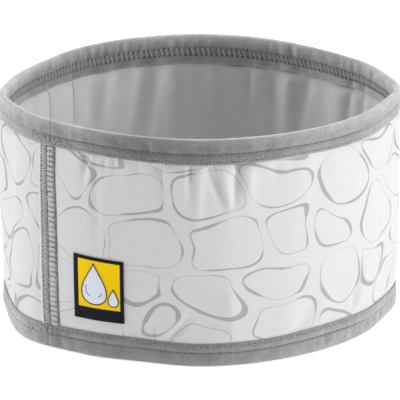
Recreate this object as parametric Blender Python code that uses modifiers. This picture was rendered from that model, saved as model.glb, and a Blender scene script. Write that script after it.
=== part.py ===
"""Cooling neck gaiter for a dog: a short oval tube of cloth that stands on its lower rim.

An outer cloth and a lining are caught at both edges in a folded binding. One stitched side seam
closes the tube, and a small label sits beside it. Metres, +Z up. The origin is the middle of the
foot, the label and the seam face -Y.
"""
import math
from collections import namedtuple

import bmesh
import bpy
from mathutils import Vector

# The tube, over its outside
TUBE_WIDTH = 0.1408
TUBE_DEPTH = 0.1358
TUBE_HEIGHT = 0.0809
PLAN_POWER = 1.82          # 2 is an ellipse, less pulls the quarters in
BULGE = 0.0006             # the outer cloth swells this much at half height

# Thickness of each cloth, and the clearance between two that touch
BINDING_WALL = 0.0010
PANEL_WALL = 0.0012
LINING_WALL = 0.0010
SEAM_WALL = 0.0008
LABEL_WALL = 0.0009
PINCHED_SHARE = 0.6        # of a cloth's thickness is left where a binding squeezes it
CLOTH_GAP = 0.0003

# Bindings: how far each folded leg reaches from the rim
TOP_OUTER_LEG = 0.0089
TOP_INNER_LEG = 0.0110
BOTTOM_OUTER_LEG = 0.0082
BOTTOM_INNER_LEG = 0.0100
FOLD_ROUND = 0.0013        # corner of the fold, outside
CAUGHT_CLEARANCE = 0.0026  # from the rim to the edge of the caught cloths

# Open stretch of the two cloths between the bindings
PUFF = 0.0030              # height over which a cloth swells out past a binding's edge
PANEL_SET_BACK = 0.0003    # outer cloth's face behind the binding's face
LINING_PROUD = 0.0002      # lining's face in front of the binding's inner face
LINING_BULGE = 0.0004
PANEL_FOLD = 0.0012        # deepest fold of the outer cloth
LINING_FOLD = 0.0013       # deepest fold of the lining

# Side seam and label, by their turn about Z in degrees (0 at +X, -90 at the front)
SEAM_TURN = -139.75        # at the rim
SEAM_LEAN = 3.3            # further round at the foot, where the tube is fuller
SEAM_WIDTH = 0.0082
LABEL_TURN = -120.6
LABEL_WIDTH = 0.0191
LABEL_HEIGHT = 0.0226
LABEL_BASE = 0.0135        # lower edge above the foot
LABEL_CORNER = 0.0011

# Fineness of the faceted solids
ROUND_SEGMENTS = 92
CROWDING = 0.3             # packs the stations at the front and back, where the folds are
PANEL_MIDDLE_ROWS = 5
LINING_MIDDLE_ROWS = 4
SEAM_COLUMNS = 3
SEAM_MIDDLE_ROWS = 10
LABEL_COLUMNS = 5
LABEL_ROWS = 4

# Slow swellings of the plan: share of the radius added at the top and at the bottom rim
Lobe = namedtuple("Lobe", "turn width top bottom")
LOBES = (
    Lobe(turn=-178, width=12, top=0.015, bottom=-0.017),
    Lobe(turn=-164, width=7, top=0.007, bottom=-0.007),
    Lobe(turn=-146, width=15, top=0.022, bottom=0.070),
    Lobe(turn=-140, width=12, top=0.000, bottom=0.004),
    Lobe(turn=-122, width=10, top=0.000, bottom=0.017),
    Lobe(turn=-106, width=12, top=0.000, bottom=-0.019),
    Lobe(turn=-50, width=26, top=0.015, bottom=0.003),
    Lobe(turn=-17, width=11, top=-0.009, bottom=-0.016),
    Lobe(turn=-4, width=7, top=0.010, bottom=0.009),
    Lobe(turn=13, width=9, top=-0.014, bottom=0.010),
    Lobe(turn=42, width=20, top=-0.031, bottom=-0.019),
    Lobe(turn=95, width=25, top=0.007, bottom=0.004),
    Lobe(turn=154, width=18, top=-0.052, bottom=-0.017),
    Lobe(turn=170, width=8, top=-0.028, bottom=0.000),
    Lobe(turn=179, width=6, top=-0.026, bottom=0.010),
)

# Folds: turn at the root, lean in degrees a full height, half width in degrees, root and reach as
# shares of the height, push as a share of the deepest fold (outwards from the wall is positive)
Fold = namedtuple("Fold", "turn lean width root reach push")
PANEL_FOLDS = (
    Fold(turn=-123, lean=0, width=4.0, root=0.90, reach=0.16, push=-0.70),
    Fold(turn=-102, lean=0, width=4.0, root=0.90, reach=0.16, push=-0.55),
    Fold(turn=-97, lean=0, width=4.0, root=0.08, reach=0.14, push=-0.60),
    Fold(turn=-94, lean=0, width=3.5, root=0.85, reach=0.25, push=-0.60),
    Fold(turn=-89, lean=0, width=3.5, root=0.75, reach=0.40, push=0.60),
    Fold(turn=-84, lean=-6, width=3.5, root=0.80, reach=0.40, push=-0.95),
    Fold(turn=-80.5, lean=-3, width=3.5, root=0.75, reach=0.42, push=0.70),
    Fold(turn=-77, lean=0, width=3.5, root=0.80, reach=0.45, push=-1.00),
    Fold(turn=-86, lean=0, width=5.0, root=0.12, reach=0.18, push=-0.50),
    Fold(turn=-52, lean=5, width=9.0, root=0.60, reach=0.40, push=-0.30),
    Fold(turn=60, lean=0, width=8.0, root=0.80, reach=0.50, push=-0.50),
    Fold(turn=84, lean=4, width=6.0, root=0.70, reach=0.60, push=-0.70),
    Fold(turn=108, lean=0, width=6.0, root=0.80, reach=0.50, push=-0.60),
    Fold(turn=136, lean=-4, width=7.0, root=0.60, reach=0.60, push=-0.50),
)
LINING_FOLDS = (
    Fold(turn=148, lean=0, width=4.0, root=0.75, reach=0.50, push=-0.80),
    Fold(turn=136, lean=0, width=4.0, root=0.75, reach=0.60, push=-0.70),
    Fold(turn=129, lean=0, width=4.0, root=0.70, reach=0.60, push=0.45),
    Fold(turn=122, lean=0, width=4.5, root=0.70, reach=0.60, push=-0.60),
    Fold(turn=115, lean=0, width=4.0, root=0.75, reach=0.60, push=0.70),
    Fold(turn=107, lean=0, width=4.0, root=0.75, reach=0.60, push=-0.70),
    Fold(turn=101, lean=0, width=4.0, root=0.75, reach=0.60, push=0.60),
    Fold(turn=93, lean=0, width=5.0, root=0.70, reach=0.60, push=-0.80),
    Fold(turn=76, lean=2, width=4.5, root=0.70, reach=0.60, push=-0.80),
    Fold(turn=65, lean=-12, width=4.5, root=0.75, reach=0.50, push=0.70),
    Fold(turn=56, lean=-20, width=5.0, root=0.75, reach=0.50, push=-0.75),
    Fold(turn=44, lean=-8, width=5.0, root=0.75, reach=0.50, push=0.70),
    Fold(turn=35, lean=0, width=4.5, root=0.70, reach=0.60, push=-0.80),
    Fold(turn=12, lean=0, width=7.0, root=0.60, reach=0.60, push=-0.60),
    Fold(turn=-24, lean=0, width=8.0, root=0.50, reach=0.60, push=-0.50),
    Fold(turn=-55, lean=0, width=6.0, root=0.60, reach=0.60, push=-0.70),
    Fold(turn=-78, lean=0, width=5.0, root=0.70, reach=0.60, push=0.60),
    Fold(turn=-98, lean=0, width=6.0, root=0.60, reach=0.60, push=-0.70),
    Fold(turn=-120, lean=0, width=7.0, root=0.50, reach=0.60, push=-0.50),
    Fold(turn=172, lean=0, width=7.0, root=0.50, reach=0.60, push=-0.50),
)

# Where one row of a wrapped cloth runs: height above the foot, depth behind the outermost face,
# and whether a binding squeezes it there
Row = namedtuple("Row", "height depth pinched")

PINCHED_PANEL = PANEL_WALL * PINCHED_SHARE
PINCHED_LINING = LINING_WALL * PINCHED_SHARE
RIM_THICKNESS = 2 * BINDING_WALL + PINCHED_PANEL + PINCHED_LINING + 3 * CLOTH_GAP
CAUGHT_PANEL_DEPTH = BINDING_WALL + CLOTH_GAP
CAUGHT_LINING_DEPTH = RIM_THICKNESS - BINDING_WALL - CLOTH_GAP


def turned_apart(turn, other):
    """The signed angle in degrees from one turn to another, the short way round."""
    return (turn - other + 180) % 360 - 180


def bell(distance, width):
    """A smooth bump, 1 at its middle."""
    return math.exp(-(distance / width) ** 2)


def plan_radius(turn, rise):
    """Radius of the tube's outermost face at a turn, with rise from 0 at the foot to 1 at the rim."""
    angle = math.radians(turn)
    across = abs(math.cos(angle)) / (TUBE_WIDTH / 2)
    along = abs(math.sin(angle)) / (TUBE_DEPTH / 2)
    radius = (across ** PLAN_POWER + along ** PLAN_POWER) ** (-1 / PLAN_POWER)
    share = 1.0
    for lobe in LOBES:
        swell = lobe.bottom + (lobe.top - lobe.bottom) * rise
        share += swell * bell(turned_apart(turn, lobe.turn), lobe.width)
    return radius * share


def plan_middle():
    """Middle of the plan's box, which the origin is set to."""
    rim = [plan_corner(turn, rise) for turn in range(360) for rise in (0.0, 0.5, 1.0)]
    across = [point.x for point in rim]
    along = [point.y for point in rim]
    return Vector(((min(across) + max(across)) / 2, (min(along) + max(along)) / 2, 0))


def plan_corner(turn, rise):
    """A point of the plan before it is centred."""
    angle = math.radians(turn)
    return Vector((math.cos(angle), math.sin(angle), 0)) * plan_radius(turn, rise)


PLAN_MIDDLE = plan_middle()


def wall_point(turn, height, depth):
    """A point of the tube's wall: depth is measured square to the outermost face, inwards."""
    rise = height / TUBE_HEIGHT
    ahead = plan_corner(turn + 0.5, rise) - plan_corner(turn - 0.5, rise)
    outwards = Vector((ahead.y, -ahead.x, 0)).normalized()
    point = plan_corner(turn, rise) - PLAN_MIDDLE - outwards * depth
    point.z = height
    return point


def turn_of_width(width):
    """Degrees that a width takes up round the tube, at the seam side."""
    return math.degrees(width / plan_radius(SEAM_TURN, 0.5))


def station_turn(share):
    """Turn of a station of a wrapped cloth, from one butted end (0) to the other (1)."""
    gap = turn_of_width(CLOTH_GAP)
    turn = SEAM_TURN + gap / 2 + (360 - gap) * share
    packing = math.degrees(CROWDING / 2)
    start = math.sin(math.radians(2 * (SEAM_TURN - 90)))
    return turn - packing * (math.sin(math.radians(2 * (turn - 90))) - start)


def seam_lean(height):
    """Degrees that the seam, and with it the cut of each cloth, runs round below the rim."""
    return SEAM_LEAN * (1 - height / TUBE_HEIGHT)


def fold_push(folds, turn, height):
    """Sum of the folds at a place, as a share of the deepest fold."""
    rise = height / TUBE_HEIGHT
    push = 0.0
    for fold in folds:
        middle = fold.turn + fold.lean * (rise - fold.root)
        across = bell(turned_apart(turn, middle), fold.width)
        push += fold.push * across * bell(rise - fold.root, fold.reach)
    return push


def open_share(height, low_edge, high_edge):
    """0 inside the bindings, 1 where a cloth is free of them."""
    free = min(height - low_edge, high_edge - height) / PUFF
    return max(0.0, min(1.0, free))


def binding_rows(rim, leg, other_leg, inwards):
    """Rows of a folded binding, over its outside: up one leg, across the rim and down the other.

    inwards is the direction from the rim into the tube's height, -1 at the top and 1 at the foot.
    The first leg is the outer one at the top and the inner one at the foot, so that the outside
    of the fold always faces out.
    """
    near, far = (0.0, RIM_THICKNESS) if inwards < 0 else (RIM_THICKNESS, 0.0)
    side = 1 if far > near else -1
    return [
        Row(rim + inwards * leg, near, False),
        Row(rim + inwards * FOLD_ROUND, near, False),
        Row(rim, near + side * FOLD_ROUND, False),
        Row(rim, far - side * FOLD_ROUND, False),
        Row(rim + inwards * FOLD_ROUND, far, False),
        Row(rim + inwards * other_leg, far, False),
    ]


def cloth_rows(low_leg, high_leg, caught_depth, open_depth, bulge, middle_rows):
    """Rows of a cloth from its caught lower edge to its caught upper edge.

    It is squeezed in both bindings, swells to its open depth just past their edges, and its
    depth changes by the bulge at half height.
    """
    low_edge = low_leg + CLOTH_GAP
    high_edge = TUBE_HEIGHT - high_leg - CLOTH_GAP
    rows = [Row(CAUGHT_CLEARANCE, caught_depth, True), Row(low_edge, caught_depth, True)]
    low, high = low_edge + PUFF, high_edge - PUFF
    for step in range(middle_rows + 1):
        share = step / middle_rows
        depth = open_depth + bulge * math.sin(math.pi * share)
        rows.append(Row(low + (high - low) * share, depth, False))
    rows.append(Row(high_edge, caught_depth, True))
    rows.append(Row(TUBE_HEIGHT - CAUGHT_CLEARANCE, caught_depth, True))
    return rows


def panel_rows():
    """Rows of the outer cloth's face."""
    return cloth_rows(BOTTOM_OUTER_LEG, TOP_OUTER_LEG, CAUGHT_PANEL_DEPTH, PANEL_SET_BACK,
                      -BULGE, PANEL_MIDDLE_ROWS)


def lining_rows():
    """Rows of the lining's face towards the hollow, from the top down."""
    rows = cloth_rows(BOTTOM_INNER_LEG, TOP_INNER_LEG, CAUGHT_LINING_DEPTH,
                      RIM_THICKNESS + LINING_PROUD, LINING_BULGE, LINING_MIDDLE_ROWS)
    return rows[::-1]


def depth_at(rows, height):
    """Depth of a cloth's face at a height between two of its rows."""
    for low, high in zip(rows, rows[1:]):
        if low.height <= height <= high.height:
            share = (height - low.height) / (high.height - low.height)
            return low.depth + (high.depth - low.depth) * share
    return rows[0].depth


def cloth_material(name, colour, roughness):
    """A plain matt cloth in one colour."""
    material = bpy.data.materials.new(name)
    material.use_nodes = True
    shader = material.node_tree.nodes["Principled BSDF"]
    shader.inputs["Base Color"].default_value = (*colour, 1.0)
    shader.inputs["Roughness"].default_value = roughness
    shader.inputs["Metallic"].default_value = 0.0
    material.diffuse_color = (*colour, 1.0)
    return material


def add_cloth(name, columns, rows, place, wall, material, corner=0.0, pinched=()):
    """A flat cut sheet laid in its place and given its thickness.

    place(column, row) gives the point for whole numbers of columns and rows, and for parts of
    them at a rounded corner. The face that it describes is the outside, and the wall grows behind
    it. The rows named in pinched keep only a share of the thickness.
    """
    sheet = bmesh.new()
    bmesh.ops.create_grid(sheet, x_segments=columns, y_segments=rows, size=0.5)
    bmesh.ops.translate(sheet, verts=sheet.verts, vec=(0.5, 0.5, 0))
    bmesh.ops.scale(sheet, verts=sheet.verts, vec=(columns, rows, 1))
    if corner:
        corners = [vertex for vertex in sheet.verts if len(vertex.link_faces) == 1]
        bmesh.ops.bevel(sheet, geom=corners, offset=corner, offset_type="OFFSET", segments=2,
                        profile=0.5, affect="VERTICES", material=-1)
    squeezed = []
    for vertex in sheet.verts:
        column, row = vertex.co.x, vertex.co.y
        if round(row) in pinched:
            squeezed.append(vertex.index)
        vertex.co = place(column, row)
    mesh = bpy.data.meshes.new(name)
    sheet.to_mesh(mesh)
    sheet.free()
    mesh.materials.append(material)
    mesh.shade_smooth()

    cloth = bpy.data.objects.new(name, mesh)
    gaiter.objects.link(cloth)
    solidify = cloth.modifiers.new("Wall", "SOLIDIFY")
    solidify.thickness = wall
    solidify.offset = -1
    solidify.use_even_offset = True
    if squeezed:
        full = cloth.vertex_groups.new(name="full_wall")
        full.add([v.index for v in mesh.vertices if v.index not in squeezed], 1.0, "REPLACE")
        solidify.vertex_group = full.name
        solidify.thickness_vertex_group = PINCHED_SHARE
    return cloth


def add_wrapped_cloth(name, rows, wall, material, folds=(), deepest=0.0, edges=None, facing=1):
    """A strip wrapped once round the tube, with its two ends butted at the side seam.

    facing is 1 where the described face looks outwards and -1 where it looks into the hollow:
    a fold's push is always out of the cloth's own face.
    """
    def place(column, row):
        here = rows[round(row)]
        turn = station_turn(column / ROUND_SEGMENTS) + seam_lean(here.height)
        depth = here.depth
        if folds:
            free = open_share(here.height, *edges)
            depth -= facing * deepest * free * fold_push(folds, turn, here.height)
        return wall_point(turn, here.height, depth)

    pinched = [index for index, row in enumerate(rows) if row.pinched]
    return add_cloth(name, ROUND_SEGMENTS, len(rows) - 1, place, wall, material, pinched=pinched)


def add_outer_panel():
    """Printed outer cloth."""
    edges = (BOTTOM_OUTER_LEG, TUBE_HEIGHT - TOP_OUTER_LEG)
    white = cloth_material("outer_cloth", (0.76, 0.76, 0.75), 0.75)
    add_wrapped_cloth("outer_panel", panel_rows(), PANEL_WALL, white,
                      PANEL_FOLDS, PANEL_FOLD, edges)


def add_lining():
    """Inner cloth, seen inside the hollow."""
    edges = (BOTTOM_INNER_LEG, TUBE_HEIGHT - TOP_INNER_LEG)
    grey = cloth_material("lining_cloth", (0.42, 0.42, 0.42), 0.8)
    add_wrapped_cloth("lining", lining_rows(), LINING_WALL, grey,
                      LINING_FOLDS, LINING_FOLD, edges, facing=-1)


def add_bindings():
    """The folded bindings over the upper rim and round the foot."""
    knit = cloth_material("binding_knit", (0.26, 0.26, 0.26), 0.85)
    top = binding_rows(TUBE_HEIGHT, TOP_OUTER_LEG, TOP_INNER_LEG, -1)
    add_wrapped_cloth("top_binding", top, BINDING_WALL, knit)
    foot = binding_rows(0.0, BOTTOM_INNER_LEG, BOTTOM_OUTER_LEG, 1)
    add_wrapped_cloth("bottom_binding", foot, BINDING_WALL, knit)


def add_side_seam():
    """Flat stitched band over the butted ends of the outer cloth, between the bindings."""
    rows = panel_rows()
    low = BOTTOM_OUTER_LEG + CLOTH_GAP
    high = TUBE_HEIGHT - TOP_OUTER_LEG - CLOTH_GAP
    heights = [low, low + PUFF]
    for step in range(1, SEAM_MIDDLE_ROWS):
        heights.append(low + PUFF + (high - low - 2 * PUFF) * step / SEAM_MIDDLE_ROWS)
    heights += [high - PUFF, high]
    span = turn_of_width(SEAM_WIDTH)

    def place(column, row):
        height = heights[round(row)]
        turn = SEAM_TURN + seam_lean(height) + span * (column / SEAM_COLUMNS - 0.5)
        return wall_point(turn, height, depth_at(rows, height) - CLOTH_GAP - SEAM_WALL)

    thread = cloth_material("seam_thread", (0.36, 0.36, 0.36), 0.8)
    add_cloth("side_seam", SEAM_COLUMNS, len(heights) - 1, place, SEAM_WALL, thread)


def add_label():
    """Small stitched label that follows the outer cloth."""
    rows = panel_rows()
    span = turn_of_width(LABEL_WIDTH)

    def place(column, row):
        height = LABEL_BASE + LABEL_HEIGHT * row / LABEL_ROWS
        turn = LABEL_TURN + span * (column / LABEL_COLUMNS - 0.5)
        return wall_point(turn, height, depth_at(rows, height) - CLOTH_GAP - LABEL_WALL)

    yellow = cloth_material("label_weave", (0.91, 0.60, 0.01), 0.6)
    corner = LABEL_CORNER / (LABEL_WIDTH / LABEL_COLUMNS)
    add_cloth("label", LABEL_COLUMNS, LABEL_ROWS, place, LABEL_WALL, yellow, corner=corner)


for old in list(bpy.data.objects):
    bpy.data.objects.remove(old, do_unlink=True)

gaiter = bpy.data.collections.new("cooling_neck_gaiter")
bpy.context.scene.collection.children.link(gaiter)

add_outer_panel()
add_lining()
add_bindings()
add_side_seam()
add_label()
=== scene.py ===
"""Looks of the cooling neck gaiter: cloth, bindings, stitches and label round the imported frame.

Metres, +Z up, the label and the side seam towards -Y. Places round the tube are given as a share
of its girth, from one butted end of the cloth at the side seam to the other.
"""

import logging
import math
from bisect import bisect_left
from dataclasses import dataclass, field, replace
from enum import Enum
from functools import cached_property, lru_cache
from typing import Callable, Iterable, Sequence

import bmesh
import bpy
from mathutils import Matrix, Vector, noise


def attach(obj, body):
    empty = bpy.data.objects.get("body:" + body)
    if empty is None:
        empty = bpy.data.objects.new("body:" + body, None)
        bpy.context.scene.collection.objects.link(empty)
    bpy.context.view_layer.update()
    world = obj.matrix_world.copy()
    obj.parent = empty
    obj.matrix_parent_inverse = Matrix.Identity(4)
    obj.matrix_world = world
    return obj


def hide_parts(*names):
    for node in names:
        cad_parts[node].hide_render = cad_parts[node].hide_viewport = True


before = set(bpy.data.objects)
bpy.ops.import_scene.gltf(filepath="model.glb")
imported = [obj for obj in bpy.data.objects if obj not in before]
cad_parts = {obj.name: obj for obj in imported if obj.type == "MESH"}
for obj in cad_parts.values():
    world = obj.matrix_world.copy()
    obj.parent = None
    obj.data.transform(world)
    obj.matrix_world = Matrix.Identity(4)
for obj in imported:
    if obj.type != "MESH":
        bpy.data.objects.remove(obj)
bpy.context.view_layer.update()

log = logging.getLogger("gaiter")
MM = 0.001
# Where in a slack span the needle rows are fully slack, and how much of their pull they lose there
FULLY_SLACK, SLACK_LOSS = 0.64, 0.9
# Waves a degree of the noise round a binding
PLEAT_RATE, PUCKER_RATE, WANDER_RATE, STRENGTH_RATE = 0.42, 0.30, 0.06, 0.045
BODY = "root"
Spans = tuple[tuple, ...]
UV_NAME = "cloth"
# Painted shade in the needle holes, row grooves and looper gaps, also used for the dark joint at the strip's
# ends
PAINTED_SHADE_AND_JOINT_COLOUR = (0.02, 0.02, 0.022, 1.0)
Node = bpy.types.Node
Socket = bpy.types.NodeSocket
Piece = bpy.types.Object


@dataclass(frozen=True)
class Lobe:
    """A slow swelling of the plan: share of the radius added at the rim and at the foot."""

    turn: float
    width: float
    top: float
    bottom: float


@dataclass(frozen=True)
class Fold:
    """One fold of a cloth.

    turn and width are degrees about Z, lean is degrees a full height, root and reach are shares
    of the height, and push is in metres out of the cloth's own face.
    """

    turn: float
    width: float
    root: float
    reach: float
    push: float
    lean: float = 0.0


def folds(rows: Sequence[tuple[float, ...]]) -> tuple[Fold, ...]:
    """Folds from rows of a Fold's values, with push in millimetres."""
    return tuple(Fold(*row[:4], row[4] * MM, *row[5:]) for row in rows)


LOBES = tuple(Lobe(*row) for row in (
    (-178, 12, 0.015, -0.012), (-164, 7, 0.007, -0.001), (-146, 15, 0.022, 0.07), (-140, 12, 0, 0.004),
    (-122, 10, 0, 0.017), (-106, 12, 0, -0.019), (-50, 26, 0.015, 0.003), (-17, 11, -0.009, -0.016),
    (-4, 7, 0.01, 0.004), (13, 9, -0.014, 0.01), (42, 20, -0.031, -0.019), (95, 25, 0.007, 0.004),
    (154, 18, -0.052, -0.017), (170, 8, -0.02, 0), (179, 6, -0.026, 0.01),
))

PANEL_FOLDS = folds((
    (-174, 14, 0.72, 0.22, 0.8), (-124.8, 1, 0.88, 0.08, -0.9, 10), (-122.6, 1.7, 0.86, 0.09, 0.55, 10),
    (-118.8, 0.9, 0.89, 0.06, -0.45), (-115.6, 0.9, 0.89, 0.05, -0.45), (-112, 1.6, 0.86, 0.08, 0.25),
    (-108.5, 0.9, 0.89, 0.05, -0.4), (-121.5, 1.4, 0.72, 0.2, -0.3, -3), (-102.2, 1.5, 0.89, 0.05, -0.9),
    (-100.6, 0.7, 0.84, 0.1, -0.45), (-98.2, 2.2, 0.82, 0.12, 0.35), (-94.3, 1.2, 0.8, 0.07, 0.55),
    (-92.6, 0.8, 0.88, 0.06, -0.7), (-90.2, 1.5, 0.78, 0.18, 0.5, 4), (-85.6, 1.3, 0.82, 0.12, -1.05, -26),
    (-82.2, 1.7, 0.78, 0.17, 0.6, -8), (-79, 1.1, 0.84, 0.12, -1.05, 8), (-75.6, 1.8, 0.84, 0.14, 0.65),
    (-80.9, 2, 0.27, 0.1, 0.5, -8), (-138.1, 4.2, 0.5, 0.9, -0.42, -3.3), (-67, 2.2, 0.87, 0.07, -0.45),
    (-62, 1.6, 0.88, 0.06, -0.3), (-52, 4, 0.8, 0.15, -0.35), (-96.4, 1.4, 0.155, 0.06, -0.75, 50),
    (-103.2, 1.3, 0.14, 0.04, -0.5), (-109.6, 1.2, 0.13, 0.04, -0.4), (-90, 6, 0.25, 0.2, -0.55, -10),
    (-64, 5, 0.2, 0.14, 0.45, -12), (-57, 3, 0.16, 0.09, -0.55, 30), (-148, 3, 0.18, 0.12, -0.45, 20),
    (-153, 2.6, 0.66, 0.18, 0.35, 8), (-42, 8, 0.5, 0.4, -0.35, 6), (-36.5, 1.4, 0.2, 0.07, -0.45, 26),
    (-33.5, 1.6, 0.2, 0.07, 0.3, 26), (-10, 3, 0.8, 0.14, -0.45), (22, 4, 0.8, 0.25, -0.55, -6),
    (48, 2.6, 0.78, 0.2, -0.65), (60, 4, 0.7, 0.5, -0.5), (84, 3, 0.75, 0.4, -0.75, 6),
    (91, 3, 0.7, 0.4, 0.45, 3), (108, 2.6, 0.8, 0.25, -0.65), (112, 4, 0.15, 0.15, -0.5, 15),
    (136, 3, 0.7, 0.5, -0.6, -6), (168, 3, 0.8, 0.16, -0.5),
))

LINING_FOLDS = folds((
    (158, 4, 0.8, 0.2, 0.5), (150.3, 0.9, 0.74, 0.4, -0.35), (144, 4, 0.75, 0.3, 0.35),
    (136.9, 0.9, 0.78, 0.36, -0.35), (128.8, 2.8, 0.72, 0.13, -0.75), (123.4, 2.6, 0.78, 0.16, 0.85, -8),
    (118.2, 1.6, 0.87, 0.07, -0.55), (113.2, 1.8, 0.87, 0.06, 0.5), (109.6, 2.4, 0.8, 0.4, -0.85, -14),
    (104.8, 2.6, 0.78, 0.45, 1.2, -12), (98.4, 2.8, 0.78, 0.45, -1.05, -4), (89, 2.6, 0.82, 0.16, 0.5),
    (84.8, 1.4, 0.86, 0.09, -0.7), (77.4, 2.6, 0.82, 0.18, 1, -8), (73.2, 1.3, 0.86, 0.14, -0.9),
    (69.4, 1.8, 0.86, 0.12, 0.85, -8), (63.9, 2.2, 0.78, 0.36, -1), (57.8, 2.6, 0.78, 0.38, 1.35, -2),
    (51.2, 2.7, 0.8, 0.3, -1.4, -14), (46, 4.5, 0.8, 0.2, -0.45, -8), (34.6, 5.2, 0.78, 0.24, 1.7, -8),
    (30.3, 1.3, 0.83, 0.15, -0.8, -9), (26.8, 2.3, 0.8, 0.2, 0.55, -9), (24, 1.2, 0.84, 0.14, -0.45, -6),
    (20.6, 1.8, 0.84, 0.14, 0.45), (10, 4, 0.6, 0.6, -0.5), (-24, 5, 0.5, 0.6, -0.5),
    (-40, 3, 0.7, 0.4, 0.5), (-55, 3.5, 0.6, 0.5, -0.8), (-78, 3, 0.7, 0.5, 0.7), (-98, 3, 0.6, 0.6, -0.8),
    (-112, 3, 0.7, 0.4, 0.5), (-124, 4, 0.5, 0.6, -0.5), (172, 4, 0.5, 0.6, -0.5),
))


@dataclass(frozen=True)
class Crease:
    """A sharp fold line, too thin for the cloth's mesh, that shows as a shade.

    turn and slide are degrees about Z at its upper end and how far it moves by its lower end,
    low and high are heights above the foot, and dark is the share of light that it keeps out.
    """

    turn: float
    slide: float
    low: float
    high: float
    width: float
    dark: float


def creases(rows: Sequence[tuple[float, ...]]) -> tuple[Crease, ...]:
    """Creases from rows of a Crease's values, with lengths in millimetres."""
    return tuple(Crease(turn, slide, low * MM, high * MM, width * MM, dark)
                 for turn, slide, low, high, width, dark in rows)


LINING_CREASES = creases((
    (150.4, -0.3, 48, 84, 0.5, 0.42), (136.1, 1.5, 40, 84, 0.6, 0.38),
))
PANEL_CREASES = creases((
    (-123.6, -1.2, 64, 79, 0.36, 0.45), (-118.6, -0.6, 66, 78, 0.35, 0.13),
    (-115.4, -0.5, 66, 78, 0.35, 0.12), (-108.4, 0, 67, 78, 0.35, 0.12), (-100.7, 0, 60, 79, 0.35, 0.16),
    (-92.3, -0.2, 63, 79, 0.45, 0.22), (-87.4, 4.2, 61, 80, 0.5, 0.16), (-78.6, -0.8, 60, 80, 0.5, 0.14),
    (-103.4, 0.4, 3, 13, 0.35, 0.14), (95, 1, 58, 79, 0.4, 0.18), (48, -0.6, 62, 79, 0.4, 0.18),
))


def turned_apart(turn: float, other: float) -> float:
    """Signed degrees from one turn to another, the short way round."""
    return (turn - other + 180.0) % 360.0 - 180.0


def bell(distance: float, width: float) -> float:
    """A smooth bump, 1 at its middle."""
    return math.exp(-(distance / width) ** 2)


def ease(share: float) -> float:
    """Smooth step from 0 to 1, flat at both ends."""
    share = max(0.0, min(1.0, share))
    return share * share * (3.0 - 2.0 * share)


def ripple(*place: float) -> float:
    """Smooth fixed noise from about -1 to 1 at a place."""
    x, y, z = (tuple(place) + (0.0, 0.0))[:3]
    return noise.noise(Vector((x, y, z))) * 1.6


def ring_ripple(turn: float, rate: float, rise: float = 0.0, seed: float = 0.0) -> float:
    """Smooth fixed noise round the tube.

    Args:
        turn: degrees about Z.
        rate: waves a degree.
        rise: place along the tube, in waves.
        seed: tells one pattern from another.

    Returns:
        From about -1 to 1, the same after a whole turn.
    """
    angle, reach = math.radians(turn), math.degrees(rate)
    return ripple(reach * math.cos(angle) + 17.3 * seed, reach * math.sin(angle), rise + seed)


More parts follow.
